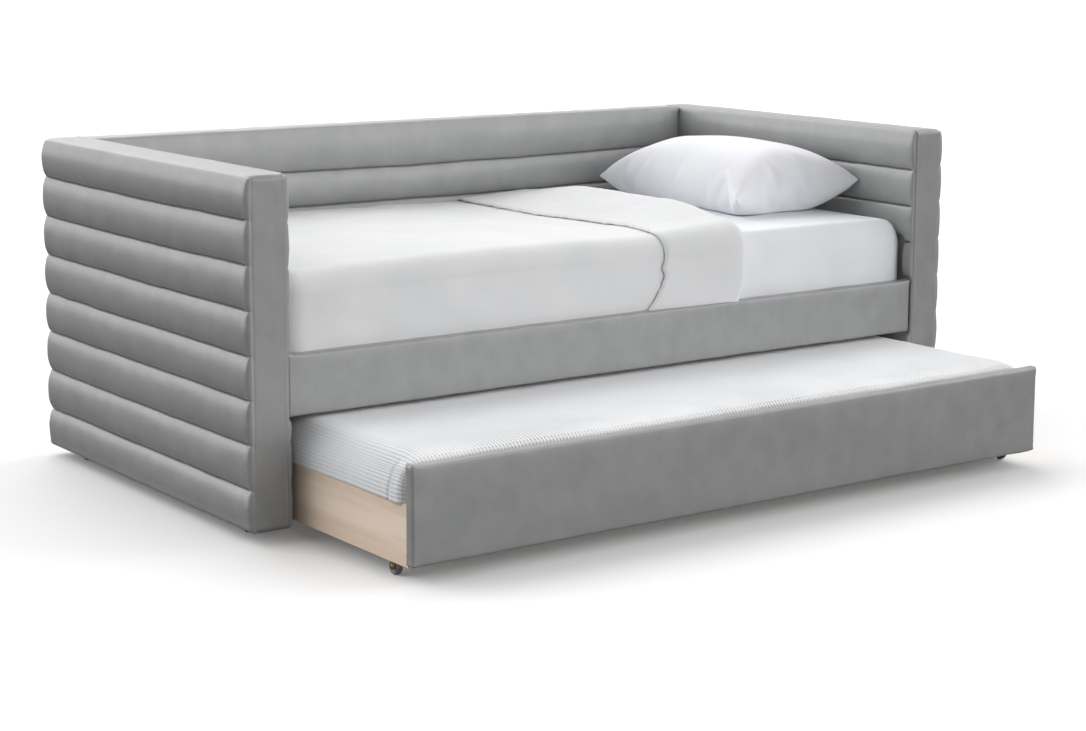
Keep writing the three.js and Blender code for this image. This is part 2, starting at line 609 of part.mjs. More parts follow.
function makeCasters() {
  for (const [endLabel, y] of CASTER_PLACES) {
    for (const [sideLabel, side] of SIDES) {
      const block = box(sideways(side, TRUNDLE_INSIDE - GAP - 45, TRUNDLE_INSIDE - GAP), [y - 32, y + 32],
        [FORK_TOP + FORK_PLATE + GAP, TRUNDLE_SLAT_BOTTOM - GAP]);
      addPart(trundle, `caster_block_${endLabel}_${sideLabel}`, block, palePine);

      const fork = addPart(trundle, `caster_fork_${endLabel}_${sideLabel}`, forkGeometry(side),
        brassPlatedSteel);
      fork.position.y = y;

      const wheel = addPart(trundle, `caster_wheel_${endLabel}_${sideLabel}`, wheelGeometry(), greyRubber);
      wheel.position.set((side * (WHEEL_OUTER_FACE + WHEEL_INNER_FACE)) / 2, y, WHEEL_RADIUS);
    }
  }
}

for (const [label, side] of SIDES) {
  makeArm(label, side);
}
makeBack();
makeRailAndDeck();
for (const [endLabel, end] of ENDS) {
  for (const [sideLabel, side] of SIDES) {
    makeBracket(endLabel, end, sideLabel, side);
  }
}
makeGlides();
makeBedding();
makePillow();
makeTrundleFront();
makeTrundleBox();
makeTrundleBedding();
makeCasters();

export default bed;
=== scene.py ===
# The looks of a daybed with a pull-out trundle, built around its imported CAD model, in metres.
from math import cos, pi, radians, sin

import bmesh
import bpy
import numpy as np
from mathutils import Matrix, Vector


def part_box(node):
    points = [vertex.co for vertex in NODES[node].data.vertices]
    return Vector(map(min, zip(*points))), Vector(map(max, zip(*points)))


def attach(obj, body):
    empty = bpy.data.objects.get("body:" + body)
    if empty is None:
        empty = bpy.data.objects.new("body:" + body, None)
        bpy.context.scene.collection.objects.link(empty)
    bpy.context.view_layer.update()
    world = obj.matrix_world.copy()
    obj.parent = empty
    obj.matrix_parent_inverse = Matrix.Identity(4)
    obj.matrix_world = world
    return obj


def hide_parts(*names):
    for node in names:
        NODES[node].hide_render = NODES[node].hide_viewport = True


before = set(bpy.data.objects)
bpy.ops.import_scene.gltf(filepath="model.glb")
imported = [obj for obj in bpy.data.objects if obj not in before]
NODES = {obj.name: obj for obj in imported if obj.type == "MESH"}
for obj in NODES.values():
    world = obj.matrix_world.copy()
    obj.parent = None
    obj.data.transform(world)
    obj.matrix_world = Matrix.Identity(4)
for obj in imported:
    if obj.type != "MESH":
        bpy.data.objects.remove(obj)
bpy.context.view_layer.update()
SIDES = (("left", -1), ("right", 1))


# ---------------- smooth noise and curves
OCTAVES = 3


def smoothstep(low, high, value):
    t = np.clip((value - low) / (high - low), 0.0, 1.0)
    return t * t * (3 - 2 * t)


def lattice(i, j, seed):
    """A random-looking number from -1 to 1 at each corner of a grid."""
    n = (i.astype(np.int64) * 374761393 + j.astype(np.int64) * 668265263 + seed * 974634777) & 0xFFFFFFFF
    n = ((n ^ (n >> 13)) * 1274126177) & 0xFFFFFFFF
    n = n ^ (n >> 16)
    return (n & 0xFFFF) / 32767.5 - 1.0


def noise(u, v, seed):
    """Smooth noise from -1 to 1 over a plane. u and v are arrays in units of its grain."""
    u, v = np.broadcast_arrays(np.asarray(u, float), np.asarray(v, float))
    i, j = np.floor(u), np.floor(v)
    s, t = u - i, v - j
    s, t = s * s * s * (s * (6 * s - 15) + 10), t * t * t * (t * (6 * t - 15) + 10)
    near = lattice(i, j, seed) * (1 - s) + lattice(i + 1, j, seed) * s
    far = lattice(i, j + 1, seed) * (1 - s) + lattice(i + 1, j + 1, seed) * s
    return near * (1 - t) + far * t


def layered(u, v, seed):
    """Noise with finer noise on top, still from -1 to 1."""
    total, size = 0.0, 1.0
    for k in range(OCTAVES):
        total = total + size * noise(u * 2**k, v * 2**k, seed + 17 * k)
        size *= 0.5
    return total / (2 - 2 * size)


def bell(value, middle, width):
    return np.exp(-((value - middle) / width) ** 2)


def fade(distance, length):
    return np.exp(-distance / length)


def edge_rise(distance, radius, power=2):
    """From 0 at an edge to 1 at that radius from it, as a rounded edge rises."""
    t = np.clip(distance / radius, 0.0, 1.0)
    return np.sqrt(1 - (1 - t) ** power)


def within(value, low, high):
    """1 from low to high, fading to 0 over a margin beyond them."""
    margin = 0.012
    return smoothstep(low - margin, low, value) * (1 - smoothstep(high, high + margin, value))


def soft_limit(value, limit, give):
    """The value, levelling off from give before the limit so that it never passes it."""
    over = np.clip(value - limit + give, 0, None)
    return np.where(over > 0, limit - give * fade(over, give), value)


def run_along(points):
    """How far each point lies from the first, along the points' first axis."""
    steps = np.linalg.norm(np.diff(points, axis=0), axis=-1)
    return np.concatenate([np.zeros((1,) + steps.shape[1:]), np.cumsum(steps, axis=0)])


def halves(lo, hi):
    """A box's middle and half its size."""
    lo, hi = np.array(lo), np.array(hi)
    return (lo + hi) / 2, (hi - lo) / 2


# ---------------- materials
SHADER = "Principled BSDF"


def join(value, socket):
    if isinstance(value, bpy.types.NodeSocket):
        socket.id_data.links.new(value, socket)
    else:
        socket.default_value = value


def feed(node, **inputs):
    """Joins each value to the node's input of that name, where _ stands for a space."""
    for name, value in inputs.items():
        join(value, node.inputs[name.replace("_", " ")])
    return node


def add(near, kind, **inputs):
    """A new node, in a tree or in the tree that a socket belongs to."""
    return feed(near.id_data.nodes.new("ShaderNode" + kind), **inputs)


def shader(name, **sockets):
    """A new material and its nodes, with those uniform values on its shader."""
    material = bpy.data.materials.new(name)
    material.use_nodes = True
    tree = material.node_tree
    feed(tree.nodes[SHADER], **sockets)
    return material, tree


def linear(color):
    """A colour code as the linear light that a shader takes. Anything else stays as it is."""
    if not isinstance(color, str):
        return color
    parts = [int(color[k:k + 2], 16) / 255 for k in (0, 2, 4)]
    return [p / 12.92 if p <= 0.04045 else ((p + 0.055) / 1.055) ** 2.4 for p in parts] + [1.0]


def place(tree, scale=(1, 1, 1)):
    """Coordinates fixed to the piece, in metres times scale."""
    where = add(tree, "TexCoord").outputs["Object"]
    return add(tree, "Mapping", Vector=where, Scale=scale).outputs["Vector"]


def cloudy(where, scale, detail=3.0, rough=0.5):
    node = add(where, "TexNoise", Vector=where, Scale=scale, Detail=detail, Roughness=rough)
    return node.outputs["Fac"]


def waves(where, kind, axis, scale, distortion, **more):
    """Bands across an axis, or rings round it."""
    node = add(where, "TexWave", Vector=where, Scale=scale, Distortion=distortion, **more)
    node.wave_type = kind
    node.bands_direction = node.rings_direction = axis
    return node.outputs["Fac"]


def ramp(factor, *stops):
    """Colours that follow a factor. Each stop is (position, colour)."""
    node = add(factor, "ValToRGB", Fac=factor)
    elements = node.color_ramp.elements
    while len(elements) < len(stops):
        elements.new(0.5)
    for element, (position, color) in zip(elements, stops):
        element.position = position
        element.color = linear(color)
    return node.outputs["Color"]


def maths(kind, second, first=1.0):
    """A sum of first, a socket or a number, and second, a socket."""
    node = add(second, "Math")
    node.operation = kind
    for socket, value in zip(node.inputs, (first, second)):
        join(value, socket)
    return node.outputs[0]


def blend(texture, share, first, second):
    """The first colour, turned towards the second by that share of a texture."""
    factor = maths("MULTIPLY", texture, share)
    node = add(texture, "Mix")
    node.data_type = "RGBA"
    for name, value in (("Factor", factor), ("A", linear(first)), ("B", linear(second))):
        join(value, [s for s in node.inputs if s.name == name and s.enabled][0])
    return [s for s in node.outputs if s.enabled][0]


def range_of(factor, low, high, since=0.0, until=1.0):
    """Low to high as the factor goes from since to until."""
    node = add(factor, "MapRange", Value=factor, From_Min=since, From_Max=until, To_Min=low, To_Max=high)
    return node.outputs["Result"]


def finish(material, base, texture, rough, *bumps):
    """Wires the shader to its base colour, to a roughness between two values that follows a texture,
    and to its bumps, each (height, strength, distance)."""
    before = {}
    for height, strength, distance in bumps:
        node = add(height, "Bump", Height=height, Strength=strength, Distance=distance, **before)
        before = {"Normal": node.outputs["Normal"]}
    feed(material.node_tree.nodes[SHADER], Base_Color=base, Roughness=range_of(texture, *rough), **before)
    return material


def upholstery_material(name, shade, deep):
    """A short, dense velour: faintly cloudy where its nap was brushed, with a fine pebbled grain."""
    material, tree = shader(name, Sheen_Weight=0.12, Sheen_Roughness=0.4, Specular_IOR_Level=0.75)
    where = place(tree)
    cloud = cloudy(place(tree, (1, 1, 0.8)), 17.0, 5.0, 0.62)
    patches = cloudy(place(tree, (1, 1, 0.45)), 42.0, 4.0, 0.65)
    grain = cloudy(where, 700.0, 3.0, 0.6)
    pebble = add(tree, "TexVoronoi", Vector=where, Scale=420.0).outputs["Distance"]
    base = ramp(cloud, (0.33, deep), (0.67, shade))
    base = blend(patches, 0.4, base, "999a9a")
    base = blend(grain, 0.25, base, "727373")
    return finish(material, base, patches, (0.32, 0.44), (pebble, 0.1, 0.0003), (grain, 0.22, 0.0003),
                  (patches, 0.1, 0.002))


FIBRE = (420.0, 3.0, 0.65)


def cotton_material(name, shade, deep, thread=70.0):
    """A plain-woven cotton: crossed threads too fine to see from afar, soft and matte."""
    material, tree = shader(name, Sheen_Weight=0.15, Sheen_Roughness=0.6, Specular_IOR_Level=0.25)
    where = place(tree)
    fibre = cloudy(where, *FIBRE)
    x, y, z = [waves(where, "BANDS", axis, thread, 0.6) for axis in "XYZ"]
    weave = maths("ADD", z, maths("ADD", y, x))
    base = ramp(cloudy(where, 6.0), (0.3, deep), (0.7, shade))
    base = blend(fibre, 0.12, base, deep)
    return finish(material, base, fibre, (0.77, 0.91), (weave, 0.06, 0.0002), (fibre, 0.1, 0.0004))


WAFFLE_CELL = 0.0092


def waffle_material(name, shade, deep):
    """A waffle weave: raised ribs that cross, strongest in patches at the front and down the sides, with
    painted shade in the hollows between them, darkest at the front and down the sides.
    """
    material, tree = shader(name, Sheen_Weight=0.2, Sheen_Roughness=0.6, Specular_IOR_Level=0.2)
    where = place(tree)
    cloth = add(tree, "TexCoord").outputs["UV"]
    on_cloth = add(tree, "SeparateXYZ", Vector=cloth).outputs
    fibre = cloudy(where, *FIBRE)
    patch = ramp(cloudy(where, 5.0, 2.0), (0.34, "000000"), (0.66, "ffffff"))
    front = range_of(on_cloth["Y"], 1.0, 0.14, -0.39, -0.17)
    across = on_cloth["X"]
    side = range_of(maths("MAXIMUM", across, maths("MULTIPLY", across, -1.0)), 0.0, 1.0, 0.84, 0.93)
    depth = maths("MULTIPLY", front, range_of(patch, 0.5, 1.0))
    # the sides get deeper hollows, and with them more painted shade
    depth = maths("MAXIMUM", depth, maths("MULTIPLY", side, 0.32))
    ribs = []
    for axis, share in (("X", 1.0), ("Y", 0.6)):
        rib = waves(cloth, "BANDS", axis, 2 * pi / WAFFLE_CELL / 20, 0.5, Detail_Scale=3.0)
        ribs.append(maths("MULTIPLY", rib, share))
    hollow = maths("SUBTRACT", maths("MAXIMUM", *ribs))
    weave = maths("SUBTRACT", maths("MULTIPLY", hollow, depth))
    # painted shade: the hollows take the darker colour, most where the weave is deepest
    base = blend(weave, 0.9, deep, shade)
    base = blend(fibre, 0.12, base, deep)
    return finish(material, base, fibre, (0.78, 0.92), (weave, 0.8, 0.0016), (fibre, 0.1, 0.0004))


def wood_material(name, light, dark, along, ring=11.0, rough=0.5, bend=5.0):
    """Sawn wood with its grain along one axis."""
    material, tree = shader(name, Specular_IOR_Level=0.35)
    where = place(tree, [0.06 if axis == along else 1.0 for axis in "XYZ"])
    fibre = cloudy(where, 260.0, 4.0, 0.7)
    pores = cloudy(where, 620.0, 2.0, 0.8)
    growth = waves(where, "RINGS", along, ring, bend, Detail=3.0, Detail_Scale=1.6)
    base = ramp(growth, (0.15, dark), (0.75, light))
    base = blend(fibre, 0.45, base, light)
    base = blend(cloudy(where, 22.0, 2.0), 0.3, base, dark)
    base = blend(ramp(pores, (0.3, "ffffff"), (0.42, "000000")), 0.25, base, dark)
    return finish(material, base, fibre, (rough - 0.07, rough + 0.1), (fibre, 0.15, 0.0004))


def metal_material(name, light, dark, rough):
    material, tree = shader(name, Metallic=1.0)
    scratch = cloudy(place(tree, (1, 14, 14)), 240.0, 2.0, 0.6)
    base = ramp(cloudy(place(tree), 90.0, 4.0, 0.6), (0.35, dark), (0.65, light))
    return finish(material, base, scratch, (rough - 0.08, rough + 0.12), (scratch, 0.08, 0.0002))


def moulded_material(name, shade, deep, rough):
    material, tree = shader(name, Specular_IOR_Level=0.4)
    where = place(tree)
    dust = cloudy(where, 60.0, 4.0, 0.6)
    base = ramp(dust, (0.35, deep), (0.7, shade))
    grain = cloudy(where, 1500.0, 1.0)
    return finish(material, base, dust, (rough - 0.08, rough + 0.08), (grain, 0.15, 0.0001))


UPHOLSTERY = upholstery_material("upholstery", "8f908f", "828383")
# The arms' bands are a darker copy of the upholstery: painted shade, standing for the shade on their front
# faces.
SHADED_BAND = upholstery_material("upholstery_band_painted_shade", "858685", "787979")
SHEET = cotton_material("sheet_cotton", "dee0e4", "d6d8dc")
COVERLET = cotton_material("coverlet_cotton", "d5d5d6", "cecfd0")
PILLOW = cotton_material("pillow_cotton", "dedfe3", "d8d8dd")
# a9aaad is the painted shade in the waffle's hollows
WAFFLE = waffle_material("waffle_cotton", "eeeff1", "a9aaad")
TICKING = cotton_material("ticking", "e6e4de", "d9d6cf", thread=35.0)
OAK = wood_material("oak", "eedccb", "dac4af", "Y", 24.0, bend=2.2)
OAK_ACROSS = wood_material("oak_across", "eedccb", "dac4af", "X", 24.0, bend=2.2)
PINE_ACROSS = wood_material("pine_across", "dcc7a2", "c0a177", "Y")
PINE = wood_material("pine", "dcc7a2", "c0a177", "X")
PLYWOOD = wood_material("plywood", "c9ab80", "a9895f", "X", ring=5.0, rough=0.6)
ZINC = metal_material("zinc", "c4c3bd", "8f8e88", 0.36)
BRASS = metal_material("brass_plate", "b39c78", "7e6848", 0.42)
STEEL = metal_material("steel", "b9b8b5", "7c7b78", 0.3)
RUBBER = moulded_material("grey_rubber", "757376", "5a585a", 0.5)
RIM = moulded_material("wheel_rim", "b4b2b1", "8f8d8c", 0.42)
BLACK = moulded_material("black_plastic", "333334", "232324", 0.48)


# ---------------- mesh tools
def put(name, data):
    """A new object in the scene."""
    thing = bpy.data.objects.new(name, data)
    bpy.context.scene.collection.objects.link(thing)
    return thing


def make_piece(name, vertices, faces, material, body, slot, smooth=True, weave=None):
    """A mesh riding on a CAD body. Its faces are an array if they all have as many corners, or else a
    list. weave holds each point's place on the flat cloth, in metres."""
    mesh = bpy.data.meshes.new(name)
    vertices = np.asarray(vertices, np.float32).reshape(-1, 3)
    if isinstance(faces, list):
        mesh.from_pydata(vertices.tolist(), [], faces)
    else:
        count, size = faces.shape
        mesh.vertices.add(len(vertices))
        mesh.vertices.foreach_set("co", vertices.ravel())
        mesh.loops.add(count * size)
        mesh.loops.foreach_set("vertex_index", faces.ravel().astype(np.int32))
        mesh.polygons.add(count)
        mesh.polygons.foreach_set("loop_start", np.arange(0, count * size, size, dtype=np.int32))
        mesh.update(calc_edges=True)
    if weave is not None:
        layer = mesh.uv_layers.new(name="weave")
        layer.uv.foreach_set("vector", np.asarray(weave, np.float32)[faces.ravel()].ravel())
    mesh.validate()
    piece = put(name, mesh)
    work = bmesh.new()
    work.from_mesh(mesh)
    bmesh.ops.remove_doubles(work, verts=work.verts, dist=1e-6)
    bmesh.ops.recalc_face_normals(work, faces=work.faces)
    work.to_mesh(mesh)
    work.free()
    mesh.polygons.foreach_set("use_smooth", [smooth] * len(mesh.polygons))
    mesh.materials.append(material)
    if body:
        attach(piece, body)
    return piece


def grid_faces(rows, columns, first=0, flip=False):
    """The quads of a grid of points stored row by row."""
    i, j = np.meshgrid(np.arange(rows - 1), np.arange(columns - 1), indexing="ij")
    a = first + i * columns + j
    quads = np.stack([a, a + columns, a + columns + 1, a + 1], -1).reshape(-1, 4)
    return quads[:, ::-1] if flip else quads


def rim_of(rows, columns, first=0):
    """The indices round a grid's edge, in order."""
    index = first + np.arange(rows * columns).reshape(rows, columns)
    return np.concatenate([index[0], index[1:, -1], index[-1, -2::-1], index[-2:0:-1, 0]])


def slab(name, outer, inner, material, slot):
    """A closed piece of the bed frame between two grids of points."""
    rows, columns = outer.shape[:2]
    count = rows * columns
    a, b = rim_of(rows, columns), rim_of(rows, columns, count)
    sides = np.stack([a, np.roll(a, -1), np.roll(b, -1), b], -1)
    faces = np.concatenate([grid_faces(rows, columns), grid_faces(rows, columns, count, True), sides])
    points = np.concatenate([outer.reshape(-1, 3), inner.reshape(-1, 3)])
    return make_piece(name, points, faces, material, "bed_frame", slot)


def spaced(low, high, step, ends, end_steps):
    """Positions from low to high, closer together within ends of either end."""
    inset = ends * (1 - np.cos(np.linspace(0, pi / 2, end_steps + 1)))[:-1]
    middle = np.linspace(low + ends, high - ends, max(2, int(round((high - low - 2 * ends) / step)) + 1))
    return np.concatenate([low + inset, middle, high - inset[::-1]])


def unit(vectors):
    return vectors / np.maximum(np.linalg.norm(vectors, axis=-1, keepdims=True), 1e-12)


def normals_of(grid):
    """The unit normal at each point of a grid."""
    return unit(np.cross(np.gradient(grid, axis=0), np.gradient(grid, axis=1)))


def ease_edges(piece, width, segments, degrees):
    rounding = piece.modifiers.new("eased", "BEVEL")
    rounding.width = width
    rounding.segments = segments
    rounding.limit_method = "ANGLE"
    rounding.angle_limit = radians(degrees)


def carried(name, material, bevel, segments=2):
    """A CAD node that stays as it is, with its edges eased and a material."""
    node = NODES[name]
    node.data.materials.clear()
    node.data.materials.append(material)
    ease_edges(node, bevel, segments, 40)


ROUNDING = np.tan(np.linspace(pi / 4, 0, 9))


def box_surface(lo, hi, radius, steps, skip=()):
    """A box with rounded edges, as points, quads, outward directions, and the points before rounding.
    radius may differ along X, Y and Z. steps are the spacings, and skip names open sides such as "-Z"."""
    lo, hi = np.array(lo, float), np.array(hi, float)
    radius = np.ones(3) * radius
    core_lo, core_hi = lo + radius, hi - radius
    axes = []
    for k in range(3):
        inset = radius[k] * (1 - ROUNDING[:-1])
        before, after = lo[k] + inset, hi[k] - inset[::-1]
        if "-" + "XYZ"[k] in skip:
            core_lo[k], before = lo[k], []
        if "+" + "XYZ"[k] in skip:
            core_hi[k], after = hi[k], []
        count = max(2, int(round((core_hi[k] - core_lo[k]) / steps[k])) + 1)
        axes.append(np.concatenate([before, np.linspace(core_lo[k], core_hi[k], count), after]))
    flats, quads, first = [], [], 0
    for k in range(3):
        u, v = [m for m in range(3) if m != k]
        for sign, value in (("-", lo[k]), ("+", hi[k])):
            if sign + "XYZ"[k] in skip:
                continue
            grid_u, grid_v = np.meshgrid(axes[u], axes[v], indexing="ij")
            points = np.zeros(grid_u.shape + (3,))
            points[..., u], points[..., v], points[..., k] = grid_u, grid_v, value
            flats.append(points.reshape(-1, 3))
            quads.append(grid_faces(len(axes[u]), len(axes[v]), first))
            first += grid_u.size
    flat = np.concatenate(flats)
    core = np.clip(flat, core_lo, core_hi)
    ball = unit((flat - core) / radius)
    return core + radius * ball, np.concatenate(quads), unit(ball / radius), flat


def thicken(piece, thickness):
    """Cloth of that thickness, laid inwards from the surface by a modifier, so that the mesh is closed."""
    shell = piece.modifiers.new("cloth", "SOLIDIFY")
    shell.thickness = thickness
    shell.offset = -1.0
    shell.use_even_offset = False


NEAR_AXIS = 0.00001


def lathe(name, profile, material, body, slot, centre, axis="Z", segments=64):
    """A turned piece from its (radius, height) outline, which closes on itself."""
    angles = np.linspace(0, 2 * pi, segments, endpoint=False)
    rings = np.array([[(r * cos(t), r * sin(t), h) for r, h in profile] for t in angles])
    if axis == "X":
        rings = rings[..., [2, 0, 1]]
    index = np.arange(segments * len(profile)).reshape(segments, -1)
    onward = np.roll(index, -1, axis=0)
    faces = np.stack([index, onward, np.roll(onward, -1, axis=1), np.roll(index, -1, axis=1)], -1)
    points = rings.reshape(-1, 3) + np.array(centre)
    return make_piece(name, points, faces.reshape(-1, 4), material, body, slot)


def mirrored(half):
    """A closed outline from its half below height 0."""
    return half + [(r, -h) for r, h in reversed(half)]


# ---------------- channelled pads
PITCH = 0.102
FIRST_SEAM = 0.122
PAD_EDGE = 0.007
PAD_TOP_EDGE = 0.055
REAR_INSET = 0.013
# how far from a seam the rows of points lie
GAPS = (0.0, 0.0005, 0.0011, 0.0019, 0.0031, 0.005, 0.0078, 0.0118, 0.0172, 0.0242, 0.0326, 0.0418)


def channel_seams(low, high):
    """Where one channel meets the next, from the pad's bottom to its top."""
    seams, z = [low], FIRST_SEAM
    while z < high - PITCH / 2:
        if z > low + PITCH / 3:
            seams.append(z)
        z += PITCH
    return seams + [high]


def channel_pad(name, node, along, low, high, base, rear, valley, peak, seed, over=0.0, sag=(0.0, 0.0),
                pressed=(), end_edges=(PAD_EDGE, PAD_EDGE)):
    """A pad sewn into horizontal channels. along is (axis, start, end), base the coordinate of the
    seam round its edge, and rear that of its flat back. valley and peak are how far the seams and
    the crowns stand out, and over is how far the channels' ends bulge. sag is how far the seams lie
    below their places at the pad's ends and in its middle, less for the lower ones. pressed holds
    the places, (low corner, high corner, limit), where something leans on the pad."""
    axis, start, end = along
    out_axis = 1 - axis
    run = spaced(start, end, 0.009, 0.03, 10)
    seams = np.array(channel_seams(low, high))
    count = len(seams) - 1
    gaps = np.array(GAPS) / PITCH
    part = np.concatenate([gaps, [0.5], 1 - gaps[::-1]])
    channel = np.append(np.repeat(np.arange(count), len(part) - 1), count - 1)
    s = np.append(np.tile(part[:-1], count), part[-1])[None, :]
    drift = np.zeros((len(run), len(seams)))
    bow = np.sin(pi * (run - start) / (end - start))
    for k in range(1, count):
        weight = max(0.0, 1 - 0.25 * (count - 1 - k))
        drift[:, k] = 0.0024 * layered(run / 0.19, k * 3.1, seed) + 0.0004 * noise(run / 0.03, k, seed + 5)
        drift[:, k] -= weight * (sag[0] + (sag[1] - sag[0]) * bow)
    lines = seams + drift
    bottom, tall = lines[:, channel], lines[:, channel + 1] - lines[:, channel]
    z = bottom + tall * s
    a, channel = run[:, None], channel[None, :]
    d_end = np.minimum(a - start, end - a)
    first, last = channel == 0, channel == count - 1

    # the crown of each channel, flatter at the pad's own ends
    swell = (1 - np.abs(2 * s - 1) ** 2.2) ** 0.54
    swell = np.where((first & (s < 0.5)) | (last & (s > 0.5)), np.maximum(swell, 0.8), swell)
    ragged = 0.003 * noise(channel * 7.7, 0, seed)
    full = smoothstep(0.000, 0.019, a - start + ragged) * smoothstep(-0.004, 0.006, end - a + ragged)
    swell = swell * full + (0.5 + 0.28 * swell) * (1 - full)
    lift = valley + (peak - valley) * swell

    # the cloth is gathered along the seams, and drawn in at the stitches
    near_low, near_high = np.where(first, 1.0, s * tall), np.where(last, 1.0, (1 - s) * tall)
    for gap, offset in ((near_low, 0), (near_high, 40)):
        gather = noise(a / 0.012, channel * 5.3 + offset, seed + 1)
        gather = gather * (0.35 + 0.65 * np.clip(noise(a / 0.11, channel * 2.9 + offset, seed + 2), 0, 1))
        lift += 0.0011 * gather * fade(gap, 0.011) * (1 - fade(gap, 0.0025))
        lift -= 0.006 * bell(gap, 0, 0.0015) * smoothstep(0.006, 0.022, d_end)
    lift += 0.0011 * layered(a / 0.15, z / 0.085, seed + 3)
    lift += 0.0008 * noise(z / 0.014, 0, seed + 4) * fade(d_end, 0.013)
    for lo, hi, limit in pressed:
        held = within(a, lo[0], hi[0]) * within(z, lo[1], hi[1])
        lift = lift * (1 - held) + np.minimum(lift, limit) * held
    lift = lift * edge_rise(a - start, end_edges[0]) * edge_rise(end - a, end_edges[1])
    lift = lift * edge_rise(high - z, PAD_TOP_EDGE, 3) * edge_rise(z - low, 0.012)

    outward = np.where(end - a < a - start, 1.0, -1.0)
    outer = np.zeros(z.shape + (3,))
    outer[..., axis] = a + outward * over * (swell - 0.3) * fade(d_end, 0.006)
    outer[..., out_axis] = base + (lift if base > rear else -lift)
    outer[..., 2] = z - 0.005 * fade(d_end, 0.008) * fade(high - z, 0.01)
    inner = outer.copy()
    inner[..., axis] = np.clip(inner[..., axis], start + REAR_INSET, end - REAR_INSET)
    inner[..., out_axis] = rear
    inner[..., 2] = np.minimum(inner[..., 2], high - REAR_INSET)
    piece = slab(name, outer, inner, UPHOLSTERY, "velour")
    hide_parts(node)


LEFT_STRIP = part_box("arm_left_strip")
RIGHT_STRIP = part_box("arm_right_strip")
FRONT_Y, BACK_Y = LEFT_STRIP[0].y, LEFT_STRIP[1].y
FLOOR_SIDE, TOP_Z = LEFT_STRIP[0].z, LEFT_STRIP[1].z
PAD_TOP = TOP_Z - 0.0015
STRIP_IN, STRIP_OUT = RIGHT_STRIP[0].x, RIGHT_STRIP[1].x
RAIL_END = 0.9668
SHEET_END = 0.9745


def make_arm_pads():
    rail_lo, rail_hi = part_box("front_rail_cover")
    rail = ((rail_lo.y, rail_lo.z), (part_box("front_rail_board")[1].y, rail_hi.z), 0.0004)
    sheet_lo, sheet_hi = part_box("fitted_sheet")
    mattress = ((sheet_lo.y, sheet_lo.z), (sheet_hi.y, sheet_hi.z - 0.05), STRIP_IN - SHEET_END - 0.0005)
    start, end = FRONT_Y + 0.001, BACK_Y - 0.001
    for label, side in SIDES:
        towards_middle = 1 if side < 0 else 0
        outer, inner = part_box(f"arm_{label}_outer_pad"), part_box(f"arm_{label}_inner_pad")
        channel_pad(f"arm_{label}_outer_channels", f"arm_{label}_outer_pad", (1, start, end), FLOOR_SIDE,
                    PAD_TOP, side * (STRIP_OUT - 0.0005), outer[towards_middle].x, 0.0005, 0.0162,
                    11 + side, over=0.005, sag=(0.005, 0.009))
        channel_pad(f"arm_{label}_inner_channels", f"arm_{label}_inner_pad", (1, start, inner[1].y),
                    FLOOR_SIDE, PAD_TOP, side * (STRIP_IN + 0.0005), inner[1 - towards_middle].x, -0.0025,
                    0.0115, 31 + side, sag=(0.016, 0.013), pressed=(rail, mattress),
                    end_edges=(PAD_EDGE, 0.034))


def make_back_pad():
    lo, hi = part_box("back_inner_pad")
    channel_pad("back_channels", "back_inner_pad", (0, lo.x, hi.x), lo.z, PAD_TOP, lo.y + 0.0093, hi.y,
                -0.0035, 0.0108, 51, sag=(0.02, 0.031), end_edges=(0.036, 0.036))


# ---------------- strips round the arms and back
STRIP_THICK = 0.0115


def rounded_path(corners, radius, step):
    """Points and outward normals along straight lines with rounded corners, in a plane, and the
    places of the corners among them."""
    corners = np.array(corners, float)
    headings = unit(np.diff(corners, axis=0))
    sides = np.stack([-headings[:, 1], headings[:, 0]], -1)
    points, normals, marks = [], [], []
    here = corners[0]
    for k, normal in enumerate(sides):
        last = k == len(sides) - 1
        goal = corners[k + 1] if last else corners[k + 1] - headings[k] * radius
        count = max(2, int(round(np.linalg.norm(goal - here) / step)))
        for t in np.linspace(0, 1, count, endpoint=last):
            points.append(here + (goal - here) * t)
            normals.append(normal)
        if not last:
            centre = goal - normal * radius
            marks.append(len(points) + 4)
            for t in np.linspace(0, 1, 9, endpoint=False) * pi / 2:
                normals.append(normal * cos(t) + sides[k + 1] * sin(t))
                points.append(centre + normals[-1] * radius)
            here = centre + sides[k + 1] * radius
    return np.array(points), np.array(normals), marks


def strip(name, node, corners, across, lift, material):
    """A band of padded cloth that follows a path in the YZ plane. lift(run, share, edge, marks)
    gives how far its face stands out."""
    points, normals, marks = rounded_path(corners, 0.013, 0.011)
    run = run_along(points)
    x = spaced(across[0], across[1], 0.004, 0.006, 5)
    edge = np.minimum(x - across[0], across[1] - x)[None, :]
    share = ((x - across[0]) / (across[1] - across[0]))[None, :]
    out = lift(run[:, None], share, edge, run[marks])

    def face(out):
        grid = np.zeros(out.shape + (3,))
        grid[..., 0] = x
        grid[..., 1:] = points[:, None] + normals[:, None] * out[..., None]
        return grid

    piece = slab(name, face(out), face(np.full_like(out, -STRIP_THICK)), material, "velour")
    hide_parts(node)


